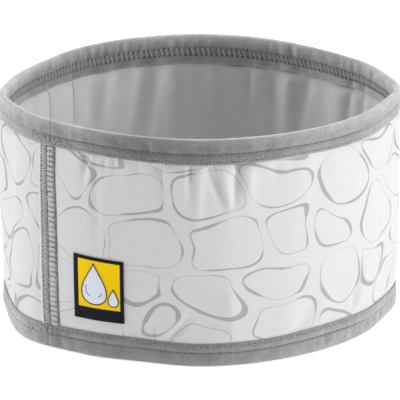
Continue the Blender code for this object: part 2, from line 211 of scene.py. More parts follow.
@dataclass(frozen=True)
class Tube:
    """The tube that every cloth is wrapped round, measured over its outside."""

    width: float = 0.1408
    depth: float = 0.1358
    height: float = 0.0809
    power: float = 1.82
    lobes: tuple[Lobe, ...] = LOBES
    seam_turn: float = -139.75
    seam_lean: float = 3.3
    butt_gap: float = 0.00008
    stations: int = 720

    def radius(self, turn: float, rise: float) -> float:
        """Radius of the outermost face.

        Args:
            turn: degrees about Z, 0 at +X.
            rise: 0 at the foot and 1 at the rim.

        Returns:
            The radius in metres.
        """
        angle = math.radians(turn)
        across = abs(math.cos(angle)) / (self.width / 2)
        along = abs(math.sin(angle)) / (self.depth / 2)
        share = 1.0
        for lobe in self.lobes:
            swell = lobe.bottom + (lobe.top - lobe.bottom) * rise
            share += swell * bell(turned_apart(turn, lobe.turn), lobe.width)
        return (across ** self.power + along ** self.power) ** (-1 / self.power) * share

    def corner(self, turn: float, rise: float) -> Vector:
        """A point of the plan before it is centred."""
        angle = math.radians(turn)
        return Vector((math.cos(angle), math.sin(angle), 0)) * self.radius(turn, rise)

    @cached_property
    def middle(self) -> Vector:
        """Middle of the plan's box, which the origin is set to."""
        rim = [self.corner(turn, rise) for turn in range(360) for rise in (0.0, 0.5, 1.0)]
        across = [point.x for point in rim]
        along = [point.y for point in rim]
        return Vector(((min(across) + max(across)) / 2, (min(along) + max(along)) / 2, 0))

    @cached_property
    def girths(self) -> list[float]:
        """Girth from the seam to each station, at half height."""
        points = [self.corner(self._station(step), 0.5) for step in range(self.stations + 1)]
        girths = [0.0]
        for here, ahead in zip(points, points[1:]):
            girths.append(girths[-1] + (ahead - here).length)
        return girths

    @property
    def girth(self) -> float:
        """Whole girth from one butted end to the other."""
        return self.girths[-1]

    def _station(self, step: float) -> float:
        """Turn of a station, the first just past the seam and the last just before it."""
        gap = math.degrees(self.butt_gap / self.radius(self.seam_turn, 0.5))
        return self.seam_turn + gap / 2 + (360 - gap) * step / self.stations

    def turn_at(self, share: float) -> float:
        """Turn of a share of the girth at the rim.

        Args:
            share: 0 at one butted end and 1 at the other; a little beyond either is allowed.

        Returns:
            Degrees about Z.
        """
        length = share * self.girth
        step = min(max(bisect_left(self.girths, length), 1), self.stations)
        low, high = self.girths[step - 1], self.girths[step]
        return self._station(step - 1 + (length - low) / (high - low))

    def share_at(self, turn: float) -> float:
        """Share of the girth at a turn, the reverse of turn_at."""
        step = ((turn - self._station(0)) % 360) / (self._station(1) - self._station(0))
        low = min(int(step), self.stations - 1)
        part = step - low
        return (self.girths[low] + (self.girths[low + 1] - self.girths[low]) * part) / self.girth

    def lean(self, height: float) -> float:
        """Degrees that the cut of the cloth runs round below the rim."""
        return self.seam_lean * (1 - height / self.height)

    def outwards(self, turn: float, height: float) -> Vector:
        """Unit vector square to the outermost face, level."""
        rise = height / self.height
        ahead = self.corner(turn + 0.5, rise) - self.corner(turn - 0.5, rise)
        return Vector((ahead.y, -ahead.x, 0)).normalized()

    def point(self, turn: float, height: float, depth: float) -> Vector:
        """A point of the wall.

        Args:
            turn: degrees about Z.
            height: above the foot.
            depth: behind the outermost face, square to it.

        Returns:
            The point in the frame.
        """
        rise = height / self.height
        place = self.corner(turn, rise) - self.middle - self.outwards(turn, height) * depth
        place.z = height
        return place


TUBE = Tube()


class Rim(Enum):
    """Which edge of the tube a binding folds over."""

    TOP = "top"
    FOOT = "bottom"


class Side(Enum):
    """Which side of the tube's wall a cloth or a stitch row faces."""

    OUTSIDE = 1
    HOLLOW = -1


def tucks(side: Side, rows: Sequence[tuple[float, ...]]) -> tuple[tuple, ...]:
    """Tucks on one side of a binding, from rows of turn, width and millimetres pushed in."""
    return tuple((turn, width, push * MM, side) for turn, width, push in rows)


TOP_TUCKS = (
    *tucks(Side.OUTSIDE, (
        (-124.4, 0.8, 0.4), (-111, 0.9, 0.3), (-104.8, 1.1, 0.6), (-92.6, 1.1, 0.34), (-70, 2.2, 0.3),
    )),
    *tucks(Side.HOLLOW, (
        (117.3, 0.8, 0.5), (114.2, 0.8, 0.6), (112.3, 0.6, -0.28), (36.6, 0.7, 0.3), (33.3, 0.7, 0.24),
        (30, 0.8, 0.5), (25.4, 0.8, 0.34), (18.8, 0.8, 0.3),
    )),
)


def dial(node: Node, values: dict[str, object]) -> None:
    """Set inputs of a node by name."""
    for name, value in values.items():
        node.inputs[name].default_value = value


@dataclass(frozen=True)
class Term:
    """A value in a node tree, for which + - * / ** and abs add the Math node."""

    graph: "Graph"
    socket: Socket

    def __add__(self, other: object) -> "Term":
        """Sum with a term or a number."""
        return self.graph.math("ADD", self, other)

    def __sub__(self, other: object) -> "Term":
        """Difference from a term or a number."""
        return self.graph.math("SUBTRACT", self, other)

    def __rsub__(self, other: float) -> "Term":
        """A number less this term."""
        return self.graph.math("SUBTRACT", other, self)

    def __mul__(self, other: object) -> "Term":
        """Product with a term or a number."""
        return self.graph.math("MULTIPLY", self, other)

    def __truediv__(self, other: object) -> "Term":
        """Quotient by a term or a number."""
        return self.graph.math("DIVIDE", self, other)

    def __pow__(self, other: object) -> "Term":
        """Power of a term or a number."""
        return self.graph.math("POWER", self, other)

    def __abs__(self) -> "Term":
        """Size without sign."""
        return self.graph.math("ABSOLUTE", self)

    __radd__, __rmul__ = __add__, __mul__


class Graph:
    """Short calls to fill a node tree."""

    def __init__(self, tree: bpy.types.NodeTree) -> None:
        """Take the tree to fill."""
        self.tree = tree

    def node(self, kind: str, **settings: object) -> Node:
        """Add a node and set its properties."""
        made = self.tree.nodes.new(kind)
        for name, value in settings.items():
            setattr(made, name, value)
        return made

    def feed(self, socket: Socket, value: object) -> None:
        """Link a socket, or set its value."""
        value = value.socket if isinstance(value, Term) else value
        if isinstance(value, Socket):
            self.tree.links.new(value, socket)
        else:
            socket.default_value = value

    def filled(self, kind: str, values: Iterable[object], **settings: object) -> Term:
        """First output of a new node whose inputs are fed in order."""
        made = self.node(kind, **settings)
        for socket, value in zip(made.inputs, values):
            self.feed(socket, value)
        return Term(self, made.outputs[0])

    def math(self, operation: str, *values: object, clamp: bool = False) -> Term:
        """A Math node's result."""
        return self.filled("ShaderNodeMath", values, operation=operation, use_clamp=clamp)

    def vector(self, operation: str, *values: object) -> Term:
        """A Vector Math node's vector."""
        return self.filled("ShaderNodeVectorMath", values, operation=operation)

    def split(self, vector: Term) -> list[Term]:
        """X, Y and Z of a vector."""
        made = self.node("ShaderNodeSeparateXYZ")
        self.feed(made.inputs[0], vector)
        return [Term(self, socket) for socket in made.outputs]

    def join(self, x: object, y: object, z: object = 0.0) -> Term:
        """A vector of three values."""
        return self.filled("ShaderNodeCombineXYZ", (x, y, z))

    def step(self, value: object, low: object, high: object) -> Term:
        """Smooth step from 0 at low to 1 at high."""
        made = self.node("ShaderNodeMapRange", interpolation_type="SMOOTHSTEP")
        for name, given in (("Value", value), ("From Min", low), ("From Max", high)):
            self.feed(made.inputs[name], given)
        return Term(self, made.outputs["Result"])

    def mix(self, share: object, first: object, second: object) -> Term:
        """A blend of two colours."""
        made = self.node("ShaderNodeMix", data_type="RGBA")
        for socket, value in ((made.inputs[0], share), (made.inputs[6], first), (made.inputs[7], second)):
            self.feed(socket, value)
        return Term(self, made.outputs[2])

    def noise(self, place: object, scale: float, detail: float = 0.0, dimensions: str = "3D",
              output: str = "Fac") -> Term:
        """Smooth noise from 0 to 1 at a place."""
        made = self.node("ShaderNodeTexNoise", noise_dimensions=dimensions)
        self.feed(made.inputs["W" if dimensions == "1D" else "Vector"], place)
        dial(made, {"Scale": scale, "Detail": detail})
        return Term(self, made.outputs[output])

    def group(self, effect: "Effect", **inputs: object) -> list[Term]:
        """Place a shared effect and feed its inputs by name."""
        made = self.node("ShaderNodeGroup", node_tree=effect.tree())
        for name, value in inputs.items():
            self.feed(made.inputs[name.replace("_", " ").capitalize()], value)
        return [Term(self, socket) for socket in made.outputs]


class Effect:
    """A shader effect that several finishes share, built once as a node group."""

    name: str = ""
    inputs: dict[str, float | None] = {}
    outputs: tuple[str, ...] = ()

    def tree(self) -> bpy.types.NodeTree:
        """The group, built at its first use."""
        return self._tree(type(self))

    @staticmethod
    @lru_cache(maxsize=None)
    def _tree(effect_type: type) -> bpy.types.NodeTree:
        """Build the group of one kind of effect."""
        effect = effect_type()
        tree = bpy.data.node_groups.new(effect.name, "ShaderNodeTree")
        for name, default in effect.inputs.items():
            kind = "NodeSocketVector" if default is None else "NodeSocketFloat"
            made = tree.interface.new_socket(name, in_out="INPUT", socket_type=kind)
            if default is not None:
                made.default_value = default
        for name in effect.outputs:
            tree.interface.new_socket(name, in_out="OUTPUT", socket_type="NodeSocketFloat")
        graph = Graph(tree)
        given = graph.node("NodeGroupInput")
        result = graph.node("NodeGroupOutput")
        sockets = {socket.name: Term(graph, socket) for socket in given.outputs if socket.name}
        for socket, value in zip(result.inputs, effect.fill(graph, sockets)):
            graph.feed(socket, value)
        return tree

    def fill(self, graph: Graph, given: dict) -> Iterable[Term]:
        """Build the effect's nodes.

        Args:
            graph: the group to fill.
            given: the group's inputs by name.

        Returns:
            One socket for each output.
        """
        raise NotImplementedError


class Knit(Effect):
    """Loops of a knitted cloth: columns of small V shapes."""

    name = "knit_loops"
    inputs = {"Place": None, "Loop": 0.0005}
    outputs = ("Height",)

    def fill(self, graph: Graph, given: dict) -> Iterable[Term]:
        """Two slanted strands a loop, crossed by the courses."""
        x, y, _ = graph.split(given["Place"])
        across = x / given["Loop"]
        up = y / given["Loop"]
        leg = abs(graph.math("FRACT", across) - 0.5)
        strand = graph.math("COSINE", (leg - 0.25) * (4 * math.pi))
        slanted = up + leg * 1.4
        course = graph.math("SINE", slanted * (2 * math.pi))
        return (strand * 0.3 + course * 0.2 + 0.5,)


class NeedleRow(Effect):
    """A row of needle holes and the groove that the thread pulls, round one height, as masks for painted
    shade.
    """

    name = "needle_row"
    inputs = {"Along": 0.0, "Across": 0.0, "Pitch": 0.002, "Size": 0.0004}
    outputs = ("Hole", "Groove")
    shorten = 0.62

    def fill(self, graph: Graph, given: dict) -> Iterable[Term]:
        """Holes at whole numbers of the pitch, in a band across the row."""
        count = given["Along"] / given["Pitch"]
        count = count + graph.noise(count, 0.9, dimensions="1D") * 0.5
        cycle = graph.math("FRACT", count + 0.25)
        along = (cycle - 0.5) * given["Pitch"]
        short = along * self.shorten
        reach = graph.math("SQRT", short ** 2.0 + given["Across"] ** 2.0)
        hole = 1.0 - graph.step(reach, given["Size"] * 0.3, given["Size"] * 1.3)
        return hole, 1.0 - graph.step(abs(given["Across"]), 0.0, given["Size"] * 2.0)


class Pebbles(Effect):
    """Outlines of loosely packed rounded pebbles, drawn with a line of changing weight."""

    name = "pebble_outlines"
    inputs = {"Place": None, "Across": 0.025, "Up": 0.018, "Inset": 0.06, "Weight": 0.03}
    outputs = ("Line", "Tone")
    spread = 0.5
    scatter = 0.42
    uneven = 0.78

    def fill(self, graph: Graph, given: dict) -> Iterable[Term]:
        """A line a little in from each cell's edge, where merging the cells starts to show."""
        x, y, _ = graph.split(given["Place"])
        cell = graph.join(x / given["Across"], y / given["Up"])
        shift = graph.vector("SUBTRACT", graph.noise(cell, 1.1, dimensions="2D", output="Color"),
                             (0.5, 0.5, 0.5))
        place = graph.vector("ADD", cell, graph.vector("MULTIPLY", shift,
                                                       (self.scatter, self.scatter, 0.0)))
        near = self.cells(graph, place, "F1")
        merged = self.cells(graph, place, "SMOOTH_F1")
        rise = graph.math("MAXIMUM", near - merged, 0.0)
        rise = graph.math("SQRT", rise * (4 / self.spread))
        inside = (1.0 - rise) * (self.spread / 2)
        pressed = graph.step(graph.noise(cell, 1.5, dimensions="2D"), 0.38, 0.66)
        weight = given["Weight"] * (0.16 + pressed)
        wander = (graph.noise(cell, 0.7, dimensions="2D") - 0.5) * 0.1
        off = abs(inside - (given["Inset"] + wander))
        return 1.0 - graph.step(off, weight - 0.004, weight + 0.006), pressed

    def cells(self, graph: Graph, place: Term, feature: str) -> Term:
        """One distance of the scattered cells, plain or merged with its neighbours'."""
        made = graph.node("ShaderNodeTexVoronoi", voronoi_dimensions="2D", feature=feature)
        graph.feed(made.inputs["Vector"], place)
        dial(made, {"Scale": 1.0, "Randomness": self.uneven})
        if feature == "SMOOTH_F1":
            made.inputs["Smoothness"].default_value = 2 * self.spread
        return Term(graph, made.outputs["Distance"])


class Comb(Effect):
    """Painted shade in the gaps between slanted looper threads, in a band between two rows."""

    name = "looper_comb"
    inputs = {"Along": 0.0, "Across": 0.0, "Pitch": 0.001, "Half": 0.0012}
    outputs = ("Dark",)

    def fill(self, graph: Graph, given: dict) -> Iterable[Term]:
        """Slanted stripes that fade at the band's edges."""
        band = 1.0 - graph.step(abs(given["Across"]), given["Half"] * 0.8, given["Half"] * 1.3)
        slant = given["Along"] / given["Pitch"] + given["Across"] / given["Half"]
        stripe = graph.math("SINE", slant * (2 * math.pi))
        return (band * (stripe * 0.07 + 0.09),)


class CreaseShade(Effect):
    """A thin shade down a sharp crease, fading at its two ends."""

    name = "crease_shade"
    inputs = {"Place": None, "Start": 0.0, "Slope": 0.0, "Near": 0.0, "Far": 0.01, "Width": 0.0005}
    outputs = ("Shade",)

    def fill(self, graph: Graph, given: dict) -> Iterable[Term]:
        """A line that is darkest along its middle."""
        along, up, _ = graph.split(given["Place"])
        middle = up * given["Slope"] + given["Start"]
        line = 1.0 - graph.step(abs(along - middle), 0.0, given["Width"])
        fade = (given["Far"] - given["Near"]) * 0.35
        begun = graph.step(up, given["Near"], given["Near"] + fade)
        left = graph.step(up, given["Far"], given["Far"] - fade)
        return (line * (begun * left),)


@dataclass(frozen=True)
class Finish:
    """What every finish has: its name, colour and gloss."""

    name: str
    colour: tuple[float, float, float]
    roughness: float = 0.8
    gloss: float = 0.25

    def material(self) -> bpy.types.Material:
        """The finish as a material, built once."""
        known = bpy.data.materials.get(self.name)
        if known:
            return known
        material = bpy.data.materials.new(self.name)
        material.use_nodes = True
        graph = Graph(material.node_tree)
        shader = material.node_tree.nodes["Principled BSDF"]
        dial(shader, {"Base Color": (*self.colour, 1.0), "Roughness": self.roughness,
                      "Specular IOR Level": self.gloss})
        self.dress(graph, shader)
        return material

    def dress(self, graph: Graph, shader: Node) -> None:
        """Add the finish's own nodes."""
        raise NotImplementedError

    @staticmethod
    def place(graph: Graph) -> Term:
        """Place on the flat cloth, in metres, from the piece's own map."""
        return Term(graph, graph.node("ShaderNodeUVMap", uv_map=UV_NAME).outputs["UV"])

    @staticmethod
    def raise_surface(graph: Graph, shader: Node, height: object, strength: float, deep: float) -> None:
        """Feed a height to the shader as a bump.

        Args:
            graph: the material's tree.
            shader: its Principled BSDF.
            height: the height from 0 to 1.
            strength: how much of the bump shows.
            deep: the height's real size in metres.
        """
        bump = graph.node("ShaderNodeBump")
        dial(bump, {"Strength": strength, "Distance": deep})
        graph.feed(bump.inputs["Height"], height)
        graph.feed(shader.inputs["Normal"], bump.outputs["Normal"])


@dataclass(frozen=True)
class KnitFinish(Finish):
    """A plain knitted cloth with slight mottling, a painted sheen where it is seen edge on, and painted shade
    down its creases.
    """

    loop: float = 0.0005
    raised: float = 0.00012
    mottle: float = 0.10
    sheen: float = 0.15
    # Share of painted sheen added to the colour where the cloth is seen edge on
    painted_sheen: float = 0.3
    creases: tuple[tuple[float, ...], ...] = ()

    def tone(self, graph: Graph, place: Term) -> object:
        """The cloth's colour, a little uneven."""
        light = tuple(min(1.0, c * (1 + self.mottle)) for c in self.colour)
        dark = tuple(c * (1 - self.mottle) for c in self.colour)
        coarse = graph.noise(place, 260.0, 3.0)
        fine = graph.noise(place, 1700.0, 1.0)
        share = coarse * 0.5 + fine * 0.5
        return graph.mix(graph.step(share, 0.36, 0.64), (*dark, 1.0), (*light, 1.0))

    def dress(self, graph: Graph, shader: Node) -> None:
        """Mottled colour with a painted sheen where the cloth is seen edge on and painted shade down each
        crease, with knit bump and the shader's sheen.
        """
        place = self.place(graph)
        # Painted sheen: the colour grows lighter where the face turns edge on, then each crease darkens it
        # with painted shade
        turned = graph.node("ShaderNodeLayerWeight")
        turned.inputs["Blend"].default_value = 0.5
        lift = Term(graph, turned.outputs["Facing"]) * self.painted_sheen + 1.0
        for start, slope, near, far, width, dark in self.creases:
            shade = graph.group(CreaseShade(), place=place, start=start, slope=slope,
                                near=near, far=far, width=width)[0]
            lift = lift * (shade * -dark + 1.0)
        tone = graph.vector("MULTIPLY", self.tone(graph, place), graph.join(lift, lift, lift))
        graph.feed(shader.inputs["Base Color"], tone)
        height = graph.group(Knit(), place=place, loop=self.loop)[0]
        self.raise_surface(graph, shader, height, 0.6, self.raised)
        dial(shader, {"Sheen Weight": self.sheen, "Sheen Roughness": 0.5})


@dataclass(frozen=True)
class PrintedFinish(KnitFinish):
    """A smooth knitted cloth with a print of pebble outlines."""

    line_colour: tuple[float, float, float] = (0.35, 0.35, 0.35)
    thin_colour: tuple[float, float, float] = (0.37, 0.37, 0.37)
    pebble_across: float = 0.0245
    pebble_up: float = 0.0175

    def tone(self, graph: Graph, place: Term) -> object:
        """White cloth under the grey print."""
        ground = super().tone(graph, place)
        line, pressed = graph.group(Pebbles(), place=place, across=self.pebble_across,
                                    up=self.pebble_up, inset=0.065, weight=0.024)[:2]
        ink = graph.mix(pressed, (*self.thin_colour, 1.0), (*self.line_colour, 1.0))
        return graph.mix(line, ground, ink)


@dataclass(frozen=True)
class RowLook:
    """One needle row of a binding: where it lies, and how dark the painted shade in its holes and its groove
    is.
    """

    across: float
    hole: float
    groove: float
    steady: bool


@dataclass(frozen=True)
class BindingFinish(KnitFinish):
    """A knitted binding with painted light and shade over its fold, and painted shade in its needle holes,
    row grooves and looper gaps.
    """

    rows: tuple[RowLook, ...] = ()
    pitch: float = 0.002
    comb: float = 0.0
    comb_half: float = 0.0012
    crest: float = 0.0
    # The crest's share of painted highlight (painted shade where below 0), and how far it spreads on the
    # outer and on the hollow side
    crest_painted_light: float = 0.0
    crest_reach: float = 0.0042
    hollow_reach: float = 0.0062
    # Painted light on the hollow side of the strip, and a lighter colour past the hollow's lower needle row
    hollow_painted_light: float = 1.1
    under_lift: float = 0.22
    girth: float = 0.43
    # Spans of painted light and shade along the strip, and spans of painted highlight along the crest on the
    # hollow side
    painted_light_and_shade_spans: Spans = ()
    rim_painted_highlights: Spans = ()
    slack: Spans = ()
    hole: float = 0.00042
    joint_dark: float = 0.4

    def tone(self, graph: Graph, place: Term) -> object:
        """Grey cloth with painted light and shade where it turns over the rim, and painted shade darkest in
        the needle holes.
        """
        along, across, _ = graph.split(place)
        lift = self.lift(graph, along, across)
        ground = graph.vector("MULTIPLY", super().tone(graph, place), graph.join(lift, lift, lift))
        tight = 1.0
        for middle, gone in self.slack:
            near = graph.step(abs(along - middle), gone, FULLY_SLACK * gone)
            tight = tight * (near * -SLACK_LOSS + 1.0)
        # Painted shade in the needle holes, row grooves and looper gaps, and the dark joint at the strip's
        # ends
        dark = 0.0
        for row in self.rows:
            off = across - row.across
            hole, groove = graph.group(NeedleRow(), along=along, across=off, pitch=self.pitch,
                                       size=self.hole)[:2]
            both = graph.math("MAXIMUM", hole * row.hole, groove * row.groove)
            dark = graph.math("MAXIMUM", dark, both if row.steady else both * tight)
        comb = graph.group(Comb(), along=along, across=across - self.comb, pitch=self.pitch,
                           half=self.comb_half)[0]
        edge = graph.math("MINIMUM", along, self.girth - along)
        joint = (1.0 - graph.step(edge, 0.0, 0.0004)) * self.joint_dark
        dark = graph.math("MAXIMUM", graph.math("MAXIMUM", dark, comb), joint)
        return graph.mix(dark, ground, PAINTED_SHADE_AND_JOINT_COLOUR)

    def lift(self, graph: Graph, along: Term, across: Term) -> Term:
        """How much painted light and shade change the strip's plain colour at each place: along the crest, on
        the hollow side, past the hollow's lower needle row and in listed spans.

        Args:
            graph: the material's tree.
            along: length along the strip.
            across: length across it.

        Returns:
            A factor for the colour.
        """
        hollow = graph.step(across, self.crest, self.crest + 0.001)
        reach = hollow * (self.hollow_reach - self.crest_reach) + self.crest_reach
        off = abs(across - self.crest)
        near = graph.math("SUBTRACT", 1.0, off / reach, clamp=True)
        crest = near ** (hollow * -0.4 + 1.6)
        under = self.comb + self.comb_half
        under = graph.step(across, under, under + 0.0012) * self.under_lift + 1.0
        lift = (hollow * (self.hollow_painted_light - 1) + 1.0) * under
        # Painted highlight along the crest (painted shade where below 0), raised further in the listed spans
        painted_crest_light = self.crest_painted_light
        for middle, wide, paler in self.rim_painted_highlights:
            off = abs(along - middle)
            here = graph.step(off, wide, 0.0) * (hollow * near)
            painted_crest_light = here * paler + painted_crest_light
        lift = lift * (crest * painted_crest_light + 1.0)
        # Spans of painted light and shade, on the outer or the hollow side
        for middle, wide, paler, side in self.painted_light_and_shade_spans:
            off = abs(along - middle)
            here = hollow if side is Side.HOLLOW else 1.0 - hollow
            here = graph.step(off, wide, 0.0) * here
            lift = lift * (here * paler + 1.0)
        return lift


@dataclass(frozen=True)
class ThreadFinish(Finish):
    """Twisted sewing thread, mapped from its UVs round and along each stitch."""

    twists: float = 3.0

    def dress(self, graph: Graph, shader: Node) -> None:
        """Slanted plies in colour and bump."""
        x, y, _ = graph.split(self.place(graph))
        slant = x * 2.0 + y * self.twists
        ply = graph.math("SINE", slant * (2 * math.pi))
        height = ply * 0.5 + 0.5
        dark = (*(c * 0.72 for c in self.colour), 1.0)
        graph.feed(shader.inputs["Base Color"], graph.mix(height, dark, (*self.colour, 1.0)))
        self.raise_surface(graph, shader, height, 0.6, 0.00006)
        shader.inputs["Sheen Weight"].default_value = 0.2


@dataclass(frozen=True)
class WovenFinish(Finish):
    """Dense woven label cloth: fine ribs across, floats along."""

    rib: float = 0.00028

    def dress(self, graph: Graph, shader: Node) -> None:
        """Ribs in colour and bump."""
        x, y, _ = graph.split(self.place(graph))
        across = graph.math("SINE", x * (2 * math.pi / self.rib))
        along = graph.math("SINE", y * (2 * math.pi / self.rib))
        weave = across * along * 0.5 + 0.5
        dark = (*(c * 0.86 for c in self.colour), 1.0)
        graph.feed(shader.inputs["Base Color"], graph.mix(weave, dark, (*self.colour, 1.0)))
        self.raise_surface(graph, shader, weave, 0.5, 0.00005)


# Each knit's colour carries a painted sheen, lighter where it is seen edge on
OUTER_FINISH = PrintedFinish("outer_cloth_print", (0.59, 0.59, 0.588), 0.72,
                             loop=0.00036, raised=0.00004, mottle=0.012, sheen=0.05, painted_sheen=0.06)
LINING_FINISH = KnitFinish("lining_knit", (0.462, 0.462, 0.462), 0.8, loop=0.00045, raised=0.00005,
                           mottle=0.03, painted_sheen=0.45)
THREAD_FINISH = ThreadFinish("binding_thread", (0.17, 0.17, 0.17), 0.6)
FLECK_FINISH = ThreadFinish("binding_edge_thread", (0.48, 0.48, 0.48), 0.6)
LOOPER_FINISH = ThreadFinish("binding_looper_thread", (0.36, 0.36, 0.36), 0.6)
RUNG_FINISH = ThreadFinish("seam_rung_thread", (0.50, 0.50, 0.50), 0.6)
LOOP_FINISH = ThreadFinish("seam_loop_thread", (0.56, 0.56, 0.56), 0.6)
SEAM_FINISH = KnitFinish("seam_band_cloth", (0.25, 0.25, 0.25), 0.85, loop=0.0005, raised=0.0001,
                         mottle=0.45)
WELT_FINISH = KnitFinish("seam_welt_cloth", (0.60, 0.60, 0.598), 0.8, loop=0.0004, raised=0.00005,
                         mottle=0.04)
LABEL_DARK = WovenFinish("label_dark_weave", (0.008, 0.011, 0.015), 0.6, gloss=0.08)
LABEL_YELLOW = WovenFinish("label_yellow_weave", (0.93, 0.61, 0.0), 0.6, gloss=0.06)
LABEL_PALE = WovenFinish("label_pale_weave", (0.71, 0.76, 0.84), 0.55, gloss=0.1)
LABEL_LINE = ThreadFinish("label_line_thread", (0.010, 0.013, 0.018), 0.6, gloss=0.08)


def added(name: str, data: bpy.types.ID) -> Piece:
    """A new object in the scene."""
    made = bpy.data.objects.new(name, data)
    bpy.context.scene.collection.objects.link(made)
    return made


def finish_piece(name: str, mesh_data: bmesh.types.BMesh, finishes: Sequence[Finish],
                 slot: str, nodes: Sequence[str] = ()) -> Piece:
    """Turn a finished bmesh into a piece of the gaiter.

    Args:
        name: the piece's name.
        mesh_data: its mesh, freed here.
        finishes: one for each material index.
        slot: not used.
        nodes: the frame's nodes that it stands for.

    Returns:
        The new object, riding on the gaiter's one body.
    """
    mesh = bpy.data.meshes.new(name)
    mesh_data.to_mesh(mesh)
    mesh_data.free()
    for finish in finishes:
        mesh.materials.append(finish.material())
    mesh.shade_smooth()
    piece = added(name, mesh)
    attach(piece, BODY)
    if nodes:
        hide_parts(*nodes)
    log.info("%s: %d faces", name, len(mesh.polygons))
    return piece


def cut_sheet(columns: int, rows: int, lay: Callable[[float, float], Vector],
              flat: Callable[[float, float], tuple[float, float]]) -> bmesh.types.BMesh:
    """Cut a flat sheet and lay it in its place.

    Args:
        columns: faces along the sheet.
        rows: faces across it.
        lay: gives the point for shares along and across, from 0 to 1.
        flat: gives the place on the flat cloth, in metres, for the same shares.

    Returns:
        The laid sheet, facing the side that lay describes.
    """
    sheet = bmesh.new()
    bmesh.ops.create_grid(sheet, x_segments=columns, y_segments=rows, size=0.5)
    layer = sheet.loops.layers.uv.new(UV_NAME)
    bmesh.ops.translate(sheet, verts=sheet.verts, vec=(0.5, 0.5, 0.0))
    for face in sheet.faces:
        for loop in face.loops:
            loop[layer].uv = flat(loop.vert.co.x, loop.vert.co.y)
    for vertex in sheet.verts:
        vertex.co = lay(vertex.co.x, vertex.co.y)
    return sheet


def to_size(length: float, width: float) -> Callable[[float, float], tuple[float, float]]:
    """Gives the place on a flat cloth of this size, for shares along and across it."""
    return lambda along, across: (along * length, across * width)


def paint(sheet: bmesh.types.BMesh, second: Callable[[float, float], bool]) -> None:
    """Give the second finish to each face whose middle on the flat cloth passes a test."""
    layer = sheet.loops.layers.uv[UV_NAME]
    for face in sheet.faces:
        x = sum(loop[layer].uv.x for loop in face.loops) / len(face.loops)
        y = sum(loop[layer].uv.y for loop in face.loops) / len(face.loops)
        face.material_index = int(second(x, y))


def thicken(piece: Piece, wall: float) -> None:
    """Give a cloth its thickness, behind the face that was laid."""
    solidify = piece.modifiers.new("Wall", "SOLIDIFY")
    solidify.thickness = wall
    solidify.offset = -1
    solidify.use_even_offset = True


@dataclass
class Stitches:
    """Small threads laid on a cloth, gathered into one piece."""

    name: str
    finish: Finish
    slot: str = "seam_thread"
    sides: int = 8
    rings: int = 6
    places: list[Matrix] = field(default_factory=list)

    def lay(self, start: Vector, end: Vector, outwards: Vector, thick: float,
            flatness: float = 0.75) -> None:
        """Lay one thread between two points.

        Args:
            start: where the needle went in.
            end: where it comes out.
            outwards: away from the cloth.
            thick: the thread's diameter.
            flatness: its height as a share of its width.
        """
        along = end - start
        reach = along.length
        along.normalize()
        beside = along.cross(outwards).normalized()
        away = beside.cross(along)
        place = Matrix((beside * thick, away * thick * flatness, along * reach)).transposed().to_4x4()
        place.translation = (start + end) / 2
        self.places.append(place)

    def thread(self) -> bpy.types.Mesh:
        """One thread, a unit long and thick."""
        shape = bmesh.new()
        shape.loops.layers.uv.new(UV_NAME)
        bmesh.ops.create_uvsphere(shape, u_segments=self.sides, v_segments=self.rings, radius=0.5,
                                  calc_uvs=True)
        mesh = bpy.data.meshes.new(f"{self.name}_thread")
        shape.to_mesh(mesh)
        shape.free()
        return mesh

    def done(self) -> Piece:
        """Copy the thread to each place and finish them as one piece."""
        thread = self.thread()
        gathered = bmesh.new()
        for _ in self.places:
            gathered.from_mesh(thread)
        for index, vertex in enumerate(gathered.verts):
            vertex.co = self.places[index // len(thread.vertices)] @ vertex.co
        bpy.data.meshes.remove(thread)
        return finish_piece(self.name, gathered, (self.finish,), self.slot)


